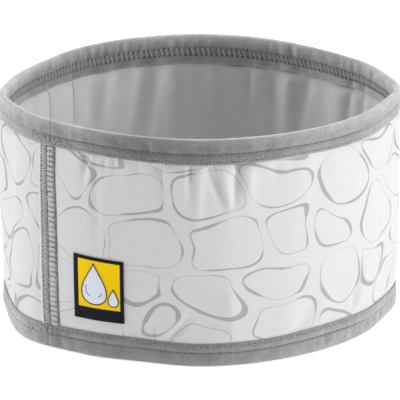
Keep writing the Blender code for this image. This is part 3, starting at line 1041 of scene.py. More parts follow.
@dataclass
class WallCloth:
    """A cloth caught in both bindings: the outer cloth or the lining."""

    name: str
    node: str
    slot: str
    finish: Finish
    side: Side
    wall: float
    folds: tuple[Fold, ...]
    foot: "Binding"
    top: "Binding"
    caught_depth: float
    open_depth: float
    bulge: float
    creases: tuple[Crease, ...] = ()
    gather: float = 0.16 * MM
    fold_strength: float = 1.0
    puff: float = 3.2 * MM
    caught: float = 4.0 * MM
    columns: int = 440
    rows: int = 64

    @property
    def low_edge(self) -> float:
        """Height of the foot binding's free edge on the cloth's side."""
        return self.foot.outer_leg if self.side is Side.OUTSIDE else self.foot.inner_leg

    @property
    def high_edge(self) -> float:
        """Height of the top binding's free edge on the cloth's side."""
        return TUBE.height - (self.top.outer_leg if self.side is Side.OUTSIDE else self.top.inner_leg)

    def free(self, turn: float, height: float) -> float:
        """0 inside the bindings, 1 where the cloth is clear of them."""
        low, high = self.low_edge, self.high_edge
        if self.side is Side.OUTSIDE:
            low, high = low + self.foot.extra(turn), high - self.top.extra(turn)
        clear = min(height - low, high - height) / self.puff
        return math.sin(math.pi / 2 * max(0.0, min(1.0, clear)))

    def push(self, turn: float, height: float) -> float:
        """How far the folds and the gathers push the cloth out of its own face."""
        rise = height / TUBE.height
        total = 0.0
        for fold in self.folds:
            if abs(rise - fold.root) < 2.5 * fold.reach:
                away = turned_apart(turn, fold.turn + fold.lean * (rise - fold.root))
                if abs(away) < 3 * fold.width:
                    total += fold.push * bell(away, fold.width) * bell(rise - fold.root, fold.reach)
        total *= self.fold_strength
        near = min(abs(height - self.low_edge), abs(self.high_edge - height))
        fade = 0.25 + bell(near, 9 * MM)
        seed = float(self.side.value) * 7.3
        total += self.gather * fade * ring_ripple(turn, 0.21, rise * 1.3, seed)
        total += self.gather * 1.6 * ring_ripple(turn, 0.07, rise * 2.2, seed + 3.1)
        return total

    def depth(self, turn: float, height: float) -> float:
        """Depth of the cloth's own face behind the tube's outermost face."""
        free = self.free(turn, height)
        middle = (height - self.low_edge) / (self.high_edge - self.low_edge)
        swell = self.bulge * math.sin(math.pi * max(0.0, min(1.0, middle)))
        out = self.side.value
        rest = self.caught_depth + (self.open_depth - self.caught_depth) * free
        return rest - out * free * (swell + self.push(turn, height))

    def face(self, turn: float, height: float, proud: float = 0.0) -> Vector:
        """A point proud of the cloth's face."""
        return TUBE.point(turn, height, self.depth(turn, height) - self.side.value * proud)

    @property
    def low(self) -> float:
        """Height of the lower edge, caught in the binding."""
        return self.low_edge - self.caught

    @property
    def high(self) -> float:
        """Height of the upper edge, caught in the binding."""
        return self.high_edge + self.caught

    def on_flat(self, turn: float, height: float) -> tuple[float, float]:
        """Place on the flat cloth of a place on the tube."""
        along = TUBE.share_at(turn - TUBE.lean(height)) * TUBE.girth
        return along, height - self.low if self.side is Side.OUTSIDE else self.high - height

    def build(self) -> Piece:
        """Cut the cloth, wrap it round the tube and give it its thickness."""
        def lay(along: float, across: float) -> Vector:
            """Wrap the sheet; the lining runs top down, so that it faces the hollow."""
            share = across if self.side is Side.OUTSIDE else 1 - across
            height = self.low + (self.high - self.low) * share
            turn = TUBE.turn_at(along) + TUBE.lean(height)
            return self.face(turn, height)

        sheet = cut_sheet(self.columns, self.rows, lay, to_size(TUBE.girth, self.high - self.low))
        piece = finish_piece(self.name, sheet, self.dress(), self.slot, (self.node,))
        thicken(piece, self.wall)
        return piece

    def dress(self) -> tuple[Finish, ...]:
        """The cloth's finish, with a shade down each sharp crease."""
        lines = []
        for crease in self.creases:
            top, foot = (self.on_flat(crease.turn, crease.high),
                         self.on_flat(crease.turn + crease.slide, crease.low))
            slope = (foot[0] - top[0]) / (foot[1] - top[1])
            near, far = sorted((top[1], foot[1]))
            lines.append((top[0] - slope * top[1], slope, near, far, crease.width, crease.dark))
        return (replace(self.finish, creases=tuple(lines)),)

    def declare(self, piece: Piece, sewn_on: Sequence[Piece] = ()) -> None:
        """Work out the cloth's cut size and list what is sewn on it, and keep neither."""
        self.high - self.low
        TUBE.girth
        list(sewn_on)


@dataclass
class Binding:
    """A knitted strip folded over one rim and sewn with two needle rows."""

    rim: Rim
    outer_leg: float
    inner_leg: float
    thickness: float = 2.2 * MM
    wall: float = 0.5 * MM
    flat_drop: float = 0.1 * MM
    upper_row: float = 5.6 * MM
    lower_row: float = 8.0 * MM
    groove: float = 0.22 * MM
    pillow: float = 0.16 * MM
    pleat: float = 0.20 * MM
    hollow_pleat: float = 2.1
    scallop: float = 0.45 * MM
    turned: float = 0.0
    joint_groove: float = 0.12 * MM
    joint_dark: float = 0.5
    # Painted highlight along the fold's crest (painted shade where below 0), and how far it spreads on each
    # side
    crest_painted_light: float = 0.9
    crest_reach: float = 4.2 * MM
    hollow_reach: float = 6.2 * MM
    wider: Spans = ()
    grey: float = 0.162
    # Painted sheen of the strip's colour where it is seen edge on
    painted_sheen: float = 1.4
    # Spans of painted light and shade along the strip, and of painted highlight along its crest
    painted_light_and_shade_spans: Spans = ()
    rim_painted_highlights: Spans = ()
    tucks: Spans = ()
    slack: Spans = ((-168.0, 32.0), (-4.0, 40.0))
    overrun: int = 5
    stitch_count: int = 208
    row_width: float = 0.55 * MM
    pillow_width: float = 0.7 * MM
    crown_width: float = 1.5 * MM
    edge_width: float = 0.6 * MM
    pleat_width: float = 1.9 * MM
    needle_thread: float = 0.40 * MM
    fleck_thread: float = 0.34 * MM
    hollow_thread: float = 0.50 * MM
    looper_thread: float = 0.62 * MM
    loose_thread: float = 0.42 * MM
    loose_each: int = 8
    columns: int = 624
    end_column: float = 0.00014
    arc_steps: int = 10
    leg_steps: int = 9

    @property
    def round_radius(self) -> float:
        """Radius of the fold over the rim."""
        return self.thickness / 2

    @property
    def arc(self) -> float:
        """Length of the fold over the rim."""
        return math.pi * self.round_radius

    @property
    def cut(self) -> float:
        """Width that the strip was cut to."""
        return self.outer_leg + self.inner_leg - 2 * self.round_radius + self.arc

    def rows_across(self) -> tuple[float, ...]:
        """Needle rows as lengths across the strip from the outer leg's free edge."""
        outer = [self.outer_leg - row for row in (self.lower_row, self.upper_row)]
        inner = [self.cut - (self.inner_leg - row) for row in (self.lower_row, self.upper_row)]
        return tuple(outer + inner)

    def section(self, across: float) -> tuple[float, float]:
        """Shape of the fold without its grooves.

        Args:
            across: length across the strip from the outer leg's free edge.

        Returns:
            How far the point lies from the rim into the height, and its depth.
        """
        straight = self.outer_leg - self.round_radius
        if across < straight:
            return self.outer_leg - across, 0.0
        turned = (across - straight) / self.round_radius
        if turned < math.pi:
            drop = self.round_radius * (1 - math.sin(turned)) - self.flat_drop
            return max(drop, 0.0), self.round_radius * (1 - math.cos(turned))
        return self.round_radius + across - straight - self.arc, self.thickness

    def relief(self, turn: float, across: float) -> float:
        """How far grooves, pillows and pleats push the face inwards at a place."""
        total = 0.0
        drop, depth = self.section(across)
        outer = depth < self.thickness / 2
        leg = self.outer_leg if outer else self.inner_leg
        tight = self.tight(turn) if outer else 1.0
        for row in (self.upper_row, self.lower_row):
            total += self.groove * tight * bell(drop - row, self.row_width)
        total -= self.pillow * bell(drop - (self.upper_row + self.lower_row) / 2, self.pillow_width)
        total -= self.pillow * 1.3 * bell(drop - self.upper_row / 2, self.crown_width)
        total += self.pillow * 0.6 * bell(drop - leg, self.edge_width)
        seed = (1.0 if self.rim is Rim.TOP else 5.0) + (0.0 if outer else 11.0)
        pleated = bell(drop - self.upper_row * 0.62, self.pleat_width)
        strong = 0.35 + ease(0.5 + ring_ripple(turn, STRENGTH_RATE, 0.0, seed + 2.0))
        pleat = self.pleat * (1.0 if outer else self.hollow_pleat)
        total += pleat * strong * pleated * ring_ripple(turn, PLEAT_RATE, 0.0, seed)
        here = Side.OUTSIDE if outer else Side.HOLLOW
        total += pleated * sum(push * bell(turned_apart(turn, at), width)
                               for at, width, push, side in self.tucks if side is here)
        total += self.pleat * 0.4 * ring_ripple(turn, PUCKER_RATE, drop * 300, seed + 4.0)
        total += self.pleat * 0.9 * ring_ripple(turn, WANDER_RATE, 0.0, seed + 7.0)
        if not outer:
            total -= 0.8 * self.lining_push(turn) * ease((drop - self.upper_row) / (leg - self.upper_row))
            total = min(total, 0.3 * MM)
        total += self.joint_groove * bell(turned_apart(turn, self.joint_at(drop)), 0.5)
        return total * min(1.0, max(0.0, drop + 0.6 * MM) / (1.2 * MM))

    def tight(self, turn: float) -> float:
        """How hard the outer rows pull: 1 in front, nearly 0 at the tube's two sides."""
        share = 1.0
        for middle, gone in self.slack:
            share *= 1 - SLACK_LOSS * ease((1 - abs(turned_apart(turn, middle)) / gone) / 0.36)
        return share

    def extra(self, turn: float) -> float:
        """How much further than outer_leg the outer leg reaches at a turn."""
        return sum(more * bell(turned_apart(turn, middle), width) for middle, width, more in self.wider)

    def height(self, drop: float) -> float:
        """Height above the foot of a distance from the rim."""
        return TUBE.height - drop if self.rim is Rim.TOP else drop

    def joint_at(self, drop: float) -> float:
        """Turn of the strip's butted ends, at a distance from the rim."""
        return TUBE.seam_turn + self.turned + TUBE.lean(self.height(drop))

    def lining_push(self, turn: float) -> float:
        """How far the lining's folds push out under the inner leg's free edge."""
        rise = 0.85 if self.rim is Rim.TOP else 0.15
        return sum(fold.push * bell(turned_apart(turn, fold.turn), fold.width)
                   * bell(rise - fold.root, fold.reach)
                   for fold in LINING_FOLDS)

    def lie(self, share: float, across: float, proud: float = 0.0) -> tuple[Vector, Vector]:
        """The place of a share of the girth, at a length across the strip."""
        turn = TUBE.turn_at(share) + self.turned + TUBE.lean(self.height(self.section(across)[0]))
        return self.place(turn, across, proud)

    def place(self, turn: float, across: float, proud: float = 0.0) -> tuple[Vector, Vector]:
        """A point of the binding's face.

        Args:
            turn: degrees about Z.
            across: length across the strip.
            proud: how far to stand off the face.

        Returns:
            The point, and the unit vector away from the face there.
        """
        drop, depth = self.section(across)
        outer = 1.0 if depth < self.thickness / 2 else -1.0
        lift = proud - self.relief(turn, across)
        if outer < 0:
            wave = ring_ripple(turn, 0.11, 0.0, 3.0) + 0.8 * self.lining_push(turn) / MM
            drop -= self.scallop * wave * ease((drop - self.lower_row) / (self.inner_leg - self.lower_row))
        else:
            drop += self.extra(turn) * ease(drop / self.outer_leg)
        height = self.height(drop)
        away = TUBE.outwards(turn, height) * outer
        return TUBE.point(turn, height, depth - outer * lift), away

    def stops(self) -> list[float]:
        """Lengths across the strip at which it has a row of points, closer over the fold."""
        straight = self.outer_leg - self.round_radius
        inner = self.inner_leg - self.round_radius
        stops = [straight * step / self.leg_steps for step in range(self.leg_steps)]
        stops += [straight + self.arc * step / self.arc_steps for step in range(self.arc_steps)]
        stops += [straight + self.arc + inner * step / self.leg_steps for step in range(self.leg_steps + 1)]
        return stops

    def build(self) -> Piece:
        """Fold the strip over the rim."""
        stops = self.stops()
        turned_over = self.rim is Rim.FOOT

        def across_at(share: float) -> float:
            """Length across the strip of one row of points."""
            index = round(share * (len(stops) - 1))
            return stops[len(stops) - 1 - index] if turned_over else stops[index]

        def along_at(share: float) -> float:
            """Share of the girth of one column, the two end ones so thin that the butted ends look sharp."""
            index = round(share * self.columns)
            if index in (0, self.columns):
                return share
            return self.end_column + (1 - 2 * self.end_column) * (index - 1) / (self.columns - 2)

        def lay(along: float, share: float) -> Vector:
            """Wrap the strip round the rim."""
            return self.lie(along_at(along), across_at(share))[0]

        def flat(along: float, share: float) -> tuple[float, float]:
            """Girth and width on the flat strip."""
            return along_at(along) * TUBE.girth, across_at(share)

        strip = cut_sheet(self.columns, len(stops) - 1, lay, flat)
        name = f"{self.rim.value}_binding_knit"
        piece = finish_piece(name, strip, self.dress(), "binding_knit", (f"{self.rim.value}_binding",))
        thicken(piece, self.wall)
        self.cut
        TUBE.girth
        return piece

    def dress(self) -> tuple[Finish, ...]:
        """The strip's finish, with its needle rows, its joint, its painted light and shade and its painted
        sheen in their places.
        """
        # Darkness of the painted shade in each row's holes and groove; the outer rows lose it where they go
        # slack
        looks = ((0.62, 0.30, False), (0.56, 0.20, False), (0.80, 0.14, True), (0.80, 0.14, True))
        places = self.rows_across()
        rows = tuple(RowLook(across, *look) for across, look in zip(places, looks))
        return (BindingFinish(f"{self.rim.value}_binding_knit_grey", (self.grey,) * 3, 0.85, loop=0.00045,
                              raised=0.00006, mottle=0.14, sheen=0.3, painted_sheen=self.painted_sheen, rows=rows,
                              pitch=TUBE.girth / self.stitch_count, comb=sum(places[2:]) / 2,
                              comb_half=(self.lower_row - self.upper_row) / 2, girth=TUBE.girth,
                              crest=self.outer_leg - self.round_radius + self.arc / 2,
                              joint_dark=self.joint_dark, crest_painted_light=self.crest_painted_light,
                              crest_reach=self.crest_reach, hollow_reach=self.hollow_reach,
                              painted_light_and_shade_spans=self.along(self.painted_light_and_shade_spans), rim_painted_highlights=self.along(self.rim_painted_highlights),
                              slack=self.along(self.slack)),)

    @staticmethod
    def along(spans: Sequence[tuple]) -> tuple[tuple, ...]:
        """Spans given in degrees as lengths along the strip.

        Args:
            spans: a turn, a width in degrees and what else belongs to it.

        Returns:
            The same spans with the turn and the width in metres.
        """
        return tuple((TUBE.share_at(turn) * TUBE.girth, width * TUBE.girth / 360, *rest)
                     for turn, width, *rest in spans)

    def sew(self) -> list[Piece]:
        """Lay the needle threads outside, and the needle and looper threads in the hollow."""
        outer_low, outer_high, inner_low, inner_high = self.rows_across()
        outside = Stitches(f"{self.rim.value}_outside_stitches", THREAD_FINISH)
        sides = Stitches(f"{self.rim.value}_side_stitches", LOOPER_FINISH)
        flecks = Stitches(f"{self.rim.value}_edge_stitches", FLECK_FINISH, sides=6, rings=4)
        hollow = Stitches(f"{self.rim.value}_hollow_stitches", LOOPER_FINISH)
        for index in range(self.stitch_count):
            pulled = self.tight(TUBE.turn_at(index / self.stitch_count) + self.turned) > 0.5
            self.lay_dash(outside if pulled else sides, index + 0.16, outer_high, index + 0.84, outer_high,
                          thick=self.needle_thread)
            for part in (0.05, 0.55):
                low = outer_low + 0.22 * MM * ripple(index * 1.7, part * 9)
                self.lay_dash(flecks, index + part, low, index + part + 0.30, low + 0.25 * MM,
                              0.02 * MM, self.fleck_thread)
            for across in (inner_low, inner_high):
                self.lay_dash(hollow, index + 0.32, across, index + 0.68, across, 0.06 * MM,
                              self.hollow_thread)
            if 0 < index < self.stitch_count - 1:
                self.lay_dash(hollow, index + 0.95, inner_high - 0.35 * MM, index + 0.25,
                              inner_low + 0.35 * MM,
                              0.16 * MM, self.looper_thread)
            if min(index, self.stitch_count - 1 - index) < self.overrun:
                for extra in range(self.loose_each):
                    spot = index + 0.5 + 0.5 * ripple(index * 2.3, extra * 1.9)
                    across = (outer_low + outer_high) / 2 + 1.9 * MM * ripple(index * 1.9, extra * 3.1, 4.0)
                    self.lay_dash(outside if extra % 2 else flecks, spot, across, spot + 0.2,
                                  across + 0.3 * MM * ripple(index, extra, 7.0), 0.04 * MM, self.loose_thread)
        return [outside.done(), sides.done(), flecks.done(), hollow.done()]

    def lay_dash(self, stitches: Stitches, start: float, across_start: float, end: float,
                 across_end: float, proud: float = 0.05 * MM, thick: float = 0.46 * MM) -> None:
        """Lay one thread, a little unevenly, between two places of the strip.

        Args:
            stitches: the piece to lay it in.
            start: stitches from the butted end to where it goes in.
            across_start: its length across the strip there.
            end: stitches from the butted end to where it comes out.
            across_end: its length across the strip there.
            proud: how far it stands off the face.
            thick: the thread's diameter.
        """
        seed = across_start * 4000
        drift = 0.10 * MM * ripple(start * 0.9, seed, 1.0)
        slip = 0.10 * ripple(start * 0.8, seed, 5.0)
        places = [self.lie((count + slip) / self.stitch_count, across + drift, proud)
                  for count, across in ((start, across_start), (end, across_end))]
        thick *= 1 + 0.18 * ripple(start * 0.7, seed, 9.0)
        stitches.lay(places[0][0], places[1][0], (places[0][1] + places[1][1]).normalized(), thick)


@dataclass
class SideSeam:
    """The stitched band over the butted ends of the outer cloth."""

    cloth: WallCloth
    low: float
    high: float
    width: float = 7.9 * MM
    shift: float = -0.15 * MM
    wall: float = 0.25 * MM
    welt: float = 1.2 * MM
    stand_off: float = 0.22 * MM
    pitch: float = 1.75 * MM
    holes: tuple[tuple[float, float], ...] = ((1.25, 0.0), (1.35, 0.5), (1.9, 0.25), (2.8, 0.75),
                                              (3.8, 0.0),
                                              (3.8, 0.5), (7.5, 0.0), (7.5, 0.5))
    loop_middle: float = 2.3 * MM
    rope_middle: float = 5.7 * MM
    loop_thread: float = 0.36 * MM
    needle_thread: float = 0.40 * MM
    rows: int = 90
    columns: int = 24

    def turn_at(self, across: float, height: float) -> float:
        """Turn of a place across the band, from 0 at its left edge seen from outside."""
        middle = TUBE.seam_turn + TUBE.lean(height)
        offset = across - self.width / 2 + self.shift + 0.12 * MM * ripple(height * 90, 3.0)
        return middle + math.degrees(offset / TUBE.radius(middle, height / TUBE.height))

    def swell(self, across: float) -> float:
        """How far the band's welt and its two thread columns stand up."""
        swell = 0.30 * MM * bell(across - self.welt / 2, 0.55 * MM)
        swell += 0.16 * MM * bell(across - self.loop_middle, 0.8 * MM)
        swell += 0.34 * MM * bell(across - self.rope_middle, 1.1 * MM)
        edge = min(across, self.width - across)
        return swell * ease(edge / (0.6 * MM)) + self.stand_off * ease(edge / (0.5 * MM))

    def face(self, across: float, height: float, proud: float = 0.0) -> Vector:
        """A point of the band's face."""
        return self.cloth.face(self.turn_at(across, height), height, self.swell(across) + proud)

    def build(self) -> list[Piece]:
        """Lay the band and its threads."""
        def lay(along: float, across: float) -> Vector:
            """Lay the band up the seam."""
            return self.face(along * self.width, self.low + (self.high - self.low) * across)

        sheet = cut_sheet(self.columns, self.rows, lay, to_size(self.width, self.high - self.low))
        paint(sheet, lambda across, _: across < self.welt)
        band = finish_piece("side_seam_band", sheet, self.dress(), "seam_thread", ("side_seam",))
        thicken(band, self.wall)
        return [band, self.rungs(), *self.loops()]

    @staticmethod
    def dress() -> tuple[Finish, ...]:
        """Dark ground under the threads, and the light welt beside them."""
        return SEAM_FINISH, WELT_FINISH

    def heights(self) -> list[float]:
        """Height of each stitch up the seam."""
        count = int((self.high - self.low) / self.pitch)
        step = (self.high - self.low) / count
        return [self.low + (index + 0.5) * step for index in range(count)]

    def rungs(self) -> Piece:
        """A rope of plump rungs, up the right-hand column."""
        threads = Stitches("side_seam_rungs", RUNG_FINISH)
        for height in self.heights():
            uneven = ripple(height * 900, 2.0)
            low, high = (4.25 + 0.15 * uneven) * MM, (7.25 - 0.15 * uneven) * MM
            rise = (0.06 + 0.12 * uneven) * self.pitch
            self.stitch(threads, height, (low, height - rise), (high, height + rise), 0.05 * MM,
                        (1.66 + 0.14 * uneven) * MM, 0.36)
        return threads.done()

    def loops(self) -> list[Piece]:
        """Fine crossed loops up the left-hand column, and dark needle rows beside the columns."""
        threads = Stitches("side_seam_loops", LOOP_FINISH)
        needle = Stitches("side_seam_needle_rows", THREAD_FINISH, sides=6, rings=4)
        for index, height in enumerate(self.heights()):
            for side in (-1, 1):
                for part in (0.0, 0.5):
                    drift = 0.22 * MM * ripple(index * 0.9, side + part * 5)
                    middle = height + part * self.pitch + drift
                    rise = side * 0.24 * self.pitch
                    self.stitch(threads, height, (1.55 * MM + drift, middle - rise),
                                (3.45 * MM + drift, middle + rise), 0.05 * MM, self.loop_thread)
            for across, part in self.holes:
                drift = 0.22 * MM * ripple(index * 1.3 + part, across * 2)
                middle = height + part * self.pitch + drift
                self.stitch(needle, height, (across * MM + drift, middle - 0.16 * self.pitch),
                            (across * MM - drift, middle + 0.14 * self.pitch), 0.06 * MM, self.needle_thread)
        return [threads.done(), needle.done()]

    def stitch(self, threads: Stitches, height: float, start: tuple[float, float],
               end: tuple[float, float], proud: float, thick: float, flatness: float = 0.75) -> None:
        """Lay one thread between two places across and up the band.

        Args:
            threads: the piece to lay it in.
            height: where the band's face is taken for both ends.
            start: across and height where the needle went in.
            end: across and height where it comes out.
            proud: how far it stands off the face.
            thick: the thread's diameter.
            flatness: its height as a share of its width.
        """
        away = TUBE.outwards(TUBE.seam_turn + TUBE.lean(height), height)
        threads.lay(self.face(*start, proud), self.face(*end, proud), away, thick, flatness)


@dataclass
class Label:
    """The small woven label: dark edge and base strip, yellow field and two pale water drops."""

    cloth: WallCloth
    turn: float = -120.6
    width: float = 19.1 * MM
    height: float = 22.65 * MM
    base: float = 13.45 * MM
    taper: float = 0.026
    skew: float = 0.35 * MM
    wall: float = 0.4 * MM
    left_border: float = 1.9 * MM
    right_border: float = 1.35 * MM
    top_border: float = 1.15 * MM
    strip: float = 4.5 * MM
    raised: float = 0.10 * MM
    stand_off: float = 0.45 * MM
    step: float = 0.6 * MM
    drop_wall: float = 0.15 * MM
    thread: float = 0.40 * MM
    fine_thread: float = 0.34 * MM

    def face(self, across: float, up: float, proud: float = 0.0) -> Vector:
        """A point of the label's face.

        Args:
            across: from its left edge.
            up: from its lower edge.
            proud: how far to stand off the face.

        Returns:
            The point in the frame.
        """
        height = self.base + up * (1 - self.taper * (across / self.width - 0.5))
        radius = TUBE.radius(self.turn, height / TUBE.height)
        pulled = self.skew * (1 - up / self.height) * (1 - across / self.width)
        turn = self.turn + math.degrees((across + pulled - self.width / 2) / radius)
        return self.cloth.face(turn, height, self.stand_off + proud)

    def inside(self, across: float, up: float) -> float:
        """How far a place lies inside the yellow field, less than 0 outside it."""
        return min(across - self.left_border, self.width - self.right_border - across,
                   up - self.strip, self.height - self.top_border - up)

    def away(self, across: float, up: float) -> Vector:
        """Unit vector away from the label."""
        return TUBE.outwards(self.turn + math.degrees((across - self.width / 2)
                                                      / TUBE.radius(self.turn, 0.3)),
                             self.base + up)

    @staticmethod
    def stops(size: float, breaks: Sequence[float], step: float) -> list[float]:
        """Places from 0 to size with a line at each break and about a step between lines."""
        places = [0.0]
        for low, high in zip([0.0, *breaks], [*breaks, size]):
            count = max(1, round((high - low) / step))
            places += [low + (high - low) * (index + 1) / count for index in range(count)]
        return places

    def build(self) -> list[Piece]:
        """Weave the label and sew its drops."""
        across_stops = self.stops(self.width, (self.left_border, self.width - self.right_border), self.step)
        up_stops = self.stops(self.height, (self.strip, self.height - self.top_border), self.step)

        def at(along: float, across: float) -> tuple[float, float]:
            """Place on the label of two shares."""
            return (across_stops[round(along * (len(across_stops) - 1))],
                    up_stops[round(across * (len(up_stops) - 1))])

        def lay(along: float, across: float) -> Vector:
            """Lay the label, with its edge and base strip a little raised."""
            x, y = at(along, across)
            edge = min(x, self.width - x, y, self.height - y)
            proud = self.raised * ease(0.5 - self.inside(x, y) / (0.5 * MM))
            proud -= 0.12 * MM * ease(1 - edge / (0.5 * MM))
            return self.face(x, y, proud)

        sheet = cut_sheet(len(across_stops) - 1, len(up_stops) - 1, lay, at)
        paint(sheet, lambda across, up: self.inside(across, up) > 0)
        label = finish_piece("label_weave_patch", sheet, self.dress(), "label_weave", ("label",))
        thicken(label, self.wall)
        marks = [*(self.drop(index, drop) for index, drop in enumerate(self.drops())), self.outline()]
        return [label, *marks]

    @staticmethod
    def dress() -> tuple[Finish, ...]:
        """Dark edge and strip, yellow field."""
        return LABEL_DARK, LABEL_YELLOW

    def drops(self) -> tuple[tuple[float, float, float, float], ...]:
        """Middle, width and height of each water drop."""
        middle = (self.strip + self.height - self.top_border) / 2
        return ((self.width / 2 - 1.5 * MM, middle + 0.1 * MM, 9.8 * MM, 14.8 * MM),
                (self.width - 3.85 * MM, middle - 4.0 * MM, 3.9 * MM, 6.4 * MM))

    @staticmethod
    def drop_point(drop: tuple[float, float, float, float], x: float, y: float) -> tuple[float, float]:
        """Place on the label of a point of a drop, for a point of the unit disc.

        Args:
            drop: its middle, width and height.
            x: across the disc.
            y: up the disc.

        Returns:
            The place across and up the label.
        """
        across, up, width, height = drop
        reach = math.hypot(x, y)
        angle = math.atan2(x, y)
        narrow = math.sin(abs(angle) / 2) ** 1.5 if reach else 0.0
        swing = math.copysign(1, angle) * reach * math.sin(abs(angle)) * narrow
        return across + swing * width * 0.70, up + reach * math.cos(angle) * height / 2

    def drop(self, index: int, drop: tuple[float, float, float, float]) -> Piece:
        """One pale drop, a thin raised weave."""
        def lay(along: float, across: float) -> Vector:
            """Round a square sheet into the disc, then into the drop."""
            u, v = along * 2 - 1, across * 2 - 1
            x, y = u * math.sqrt(1 - v * v / 2), v * math.sqrt(1 - u * u / 2)
            edge = 1 - math.hypot(x, y)
            return self.face(*self.drop_point(drop, x, y), 0.02 * MM + 0.14 * MM * ease(edge / 0.12))

        def flat(along: float, across: float) -> tuple[float, float]:
            """Place on the flat weave."""
            return along * drop[2], across * drop[3]

        piece = finish_piece(f"label_drop_{index}", cut_sheet(24, 24, lay, flat), (LABEL_PALE,),
                             "label_weave")
        thicken(piece, self.drop_wall)
        return piece

    def outline(self) -> Piece:
        """Dark thread round each drop, with short arcs for the larger one's gloss."""
        threads = Stitches("label_drop_outline", LABEL_LINE, slot="label_weave", sides=6, rings=5)
        routes = []
        for drop, steps in zip(self.drops(), (48, 28)):
            turns = [2 * math.pi * step / steps for step in range(steps + 1)]
            routes.append(([self.drop_point(drop, math.sin(a), math.cos(a)) for a in turns], self.thread))
        for low, high in ((200, 262), (128, 156)):
            turns = [math.radians(low + (high - low) * step / 8) for step in range(9)]
            arc = [self.drop_point(self.drops()[0], 0.64 * math.sin(a), 0.64 * math.cos(a)) for a in turns]
            routes.append((arc, self.fine_thread))
        for route, thick in routes:
            for (x0, y0), (x1, y1) in zip(route, route[1:]):
                start, end = self.face(x0, y0, 0.12 * MM), self.face(x1, y1, 0.12 * MM)
                longer = (end - start) * 0.18
                threads.lay(start - longer, end + longer, self.away((x0 + x1) / 2, (y0 + y1) / 2), thick)
        return threads.done()


@dataclass
class Studio:
    """Pale floor, soft light and the camera at the photograph's angle."""

    elevation: float = 18.0
    distance: float = 1.244
    focal_pixels: float = 3494.9
    frame_pixels: float = 400.0
    aim_down: float = 2.45 * MM
    sensor: float = 36.0

    def build(self) -> None:
        """Set up everything that isn't part of the gaiter."""
        self.floor()
        self.light()
        self.camera()

    def floor(self) -> None:
        """A wide plain floor."""
        slab = bmesh.new()
        bmesh.ops.create_grid(slab, x_segments=1, y_segments=1, size=6.0)
        mesh = bpy.data.meshes.new("studio_floor")
        slab.to_mesh(mesh)
        slab.free()
        material = bpy.data.materials.new("studio_floor_paint")
        material.use_nodes = True
        shader = material.node_tree.nodes["Principled BSDF"]
        dial(shader, {"Base Color": (0.93, 0.93, 0.93, 1.0), "Roughness": 0.9, "Specular IOR Level": 0.1,
                      "Emission Color": (1.0, 1.0, 1.0, 1.0), "Emission Strength": 0.45})
        mesh.materials.append(material)
        added("studio_floor", mesh)

    def light(self) -> None:
        """White surround with a softbox on each side and one above."""
        world = bpy.data.worlds.new("studio_surround")
        world.use_nodes = True
        dial(world.node_tree.nodes["Background"], {"Color": (1.0, 1.0, 1.0, 1.0), "Strength": 0.30})
        bpy.context.scene.world = world
        bpy.context.scene.view_settings.view_transform = "Standard"
        boxes = (
            ("left_softbox", (-1.5, 0.22, 0.58), 1.1, 16.8),
            ("right_softbox", (1.45, -0.52, 0.62), 1.1, 20.5),
            ("top_softbox", (0.0, 0.5, 1.8), 1.4, 12.0),
        )
        for name, place, size, power in boxes:
            lamp = bpy.data.lights.new(name, "AREA")
            lamp.shape = "SQUARE"
            lamp.size = size
            lamp.energy = power
            box = added(name, lamp)
            box.location = place
            box.rotation_euler = (Vector((0, 0, 0.04)) - Vector(place)).to_track_quat("-Z", "Y").to_euler()

    def camera(self) -> None:
        """The camera straight in front, looking a little down."""
        tilt = math.radians(self.elevation)
        up = Vector((0, math.sin(tilt), math.cos(tilt)))
        back = Vector((0, -math.cos(tilt), math.sin(tilt)))
        aim = Vector((0, 0, TUBE.height / 2)) - up * self.aim_down
        lens = bpy.data.cameras.new("photo_camera")
        lens.sensor_width = self.sensor
        lens.lens = self.sensor * self.focal_pixels / self.frame_pixels
        lens.clip_start, lens.clip_end = 0.05, 50.0
        camera = added("photo_camera", lens)
        camera.location = aim + back * self.distance
        camera.rotation_euler = (math.pi / 2 - tilt, 0, 0)
        bpy.context.scene.camera = camera


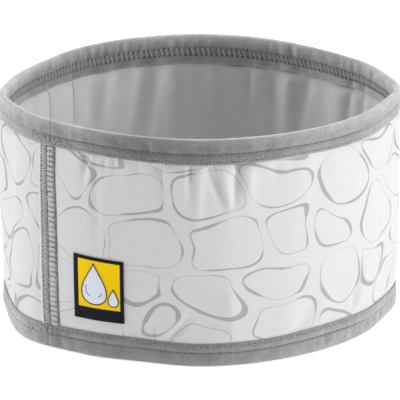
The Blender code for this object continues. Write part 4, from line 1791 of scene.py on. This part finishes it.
def main() -> None:
    """Build every piece of the gaiter and the studio round it."""
    logging.basicConfig(level=logging.INFO, format="%(name)s %(message)s")
    Studio().build()
    # The top binding: painted highlights along its crest, and painted light and shade in spans along it
    top = Binding(Rim.TOP, outer_leg=8.85 * MM, inner_leg=11.0 * MM, upper_row=5.2 * MM,
                  lower_row=7.75 * MM, turned=1.7, joint_dark=0.30, joint_groove=0.05 * MM,
                  wider=((-119.0, 14.0, -0.35 * MM), (-60.0, 14.0, -0.40 * MM)),
                  rim_painted_highlights=((92.0, 52.0, 1.7), (150.0, 45.0, 0.9)), tucks=TOP_TUCKS,
                  painted_light_and_shade_spans=((-61.0, 37.0, 0.20, Side.OUTSIDE), (-110.0, 16.0, -0.17, Side.OUTSIDE),
                         (-131.0, 8.0, 0.18, Side.OUTSIDE), (138.0, 58.0, -0.34, Side.HOLLOW)))
    # The foot binding: painted shade along its fold at the floor, and painted light in spans along it
    foot = Binding(Rim.FOOT, outer_leg=8.2 * MM, inner_leg=10.0 * MM, upper_row=4.8 * MM,
                   lower_row=7.15 * MM, turned=-1.2, joint_dark=0.6, crest_painted_light=-0.6,
                   crest_reach=1.5 * MM, hollow_reach=1.5 * MM,
                   wider=((-118.0, 14.0, 0.55 * MM), (-47.0, 19.0, 1.15 * MM)),
                   grey=0.208, painted_sheen=1.1,
                   painted_light_and_shade_spans=((-65.0, 42.0, 0.17, Side.OUTSIDE), (-148.0, 22.0, 0.14, Side.OUTSIDE)))
    for binding in (top, foot):
        binding.build()
        binding.sew()
    outer = WallCloth("outer_cloth_panel", "outer_panel", "outer_cloth", OUTER_FINISH, Side.OUTSIDE,
                      wall=0.45 * MM, folds=PANEL_FOLDS, creases=PANEL_CREASES, foot=foot, top=top,
                      caught_depth=0.56 * MM, open_depth=0.1 * MM, bulge=0.6 * MM, fold_strength=1.4,
                      puff=2.0 * MM, columns=620, rows=72)
    lining = WallCloth("lining_cloth_inner", "lining", "lining_cloth", LINING_FINISH, Side.HOLLOW,
                       wall=0.45 * MM, folds=LINING_FOLDS, creases=LINING_CREASES, foot=foot, top=top,
                       caught_depth=1.4 * MM, open_depth=2.6 * MM, bulge=0.9 * MM, fold_strength=1.1,
                       puff=3.8 * MM, columns=560, rows=64)
    outer_piece = outer.build()
    seam = SideSeam(outer, low=foot.outer_leg, high=TUBE.height - top.outer_leg).build()
    outer.declare(outer_piece, seam)
    lining.declare(lining.build())
    Label(outer).build()


if __name__ == "__main__":
    main()
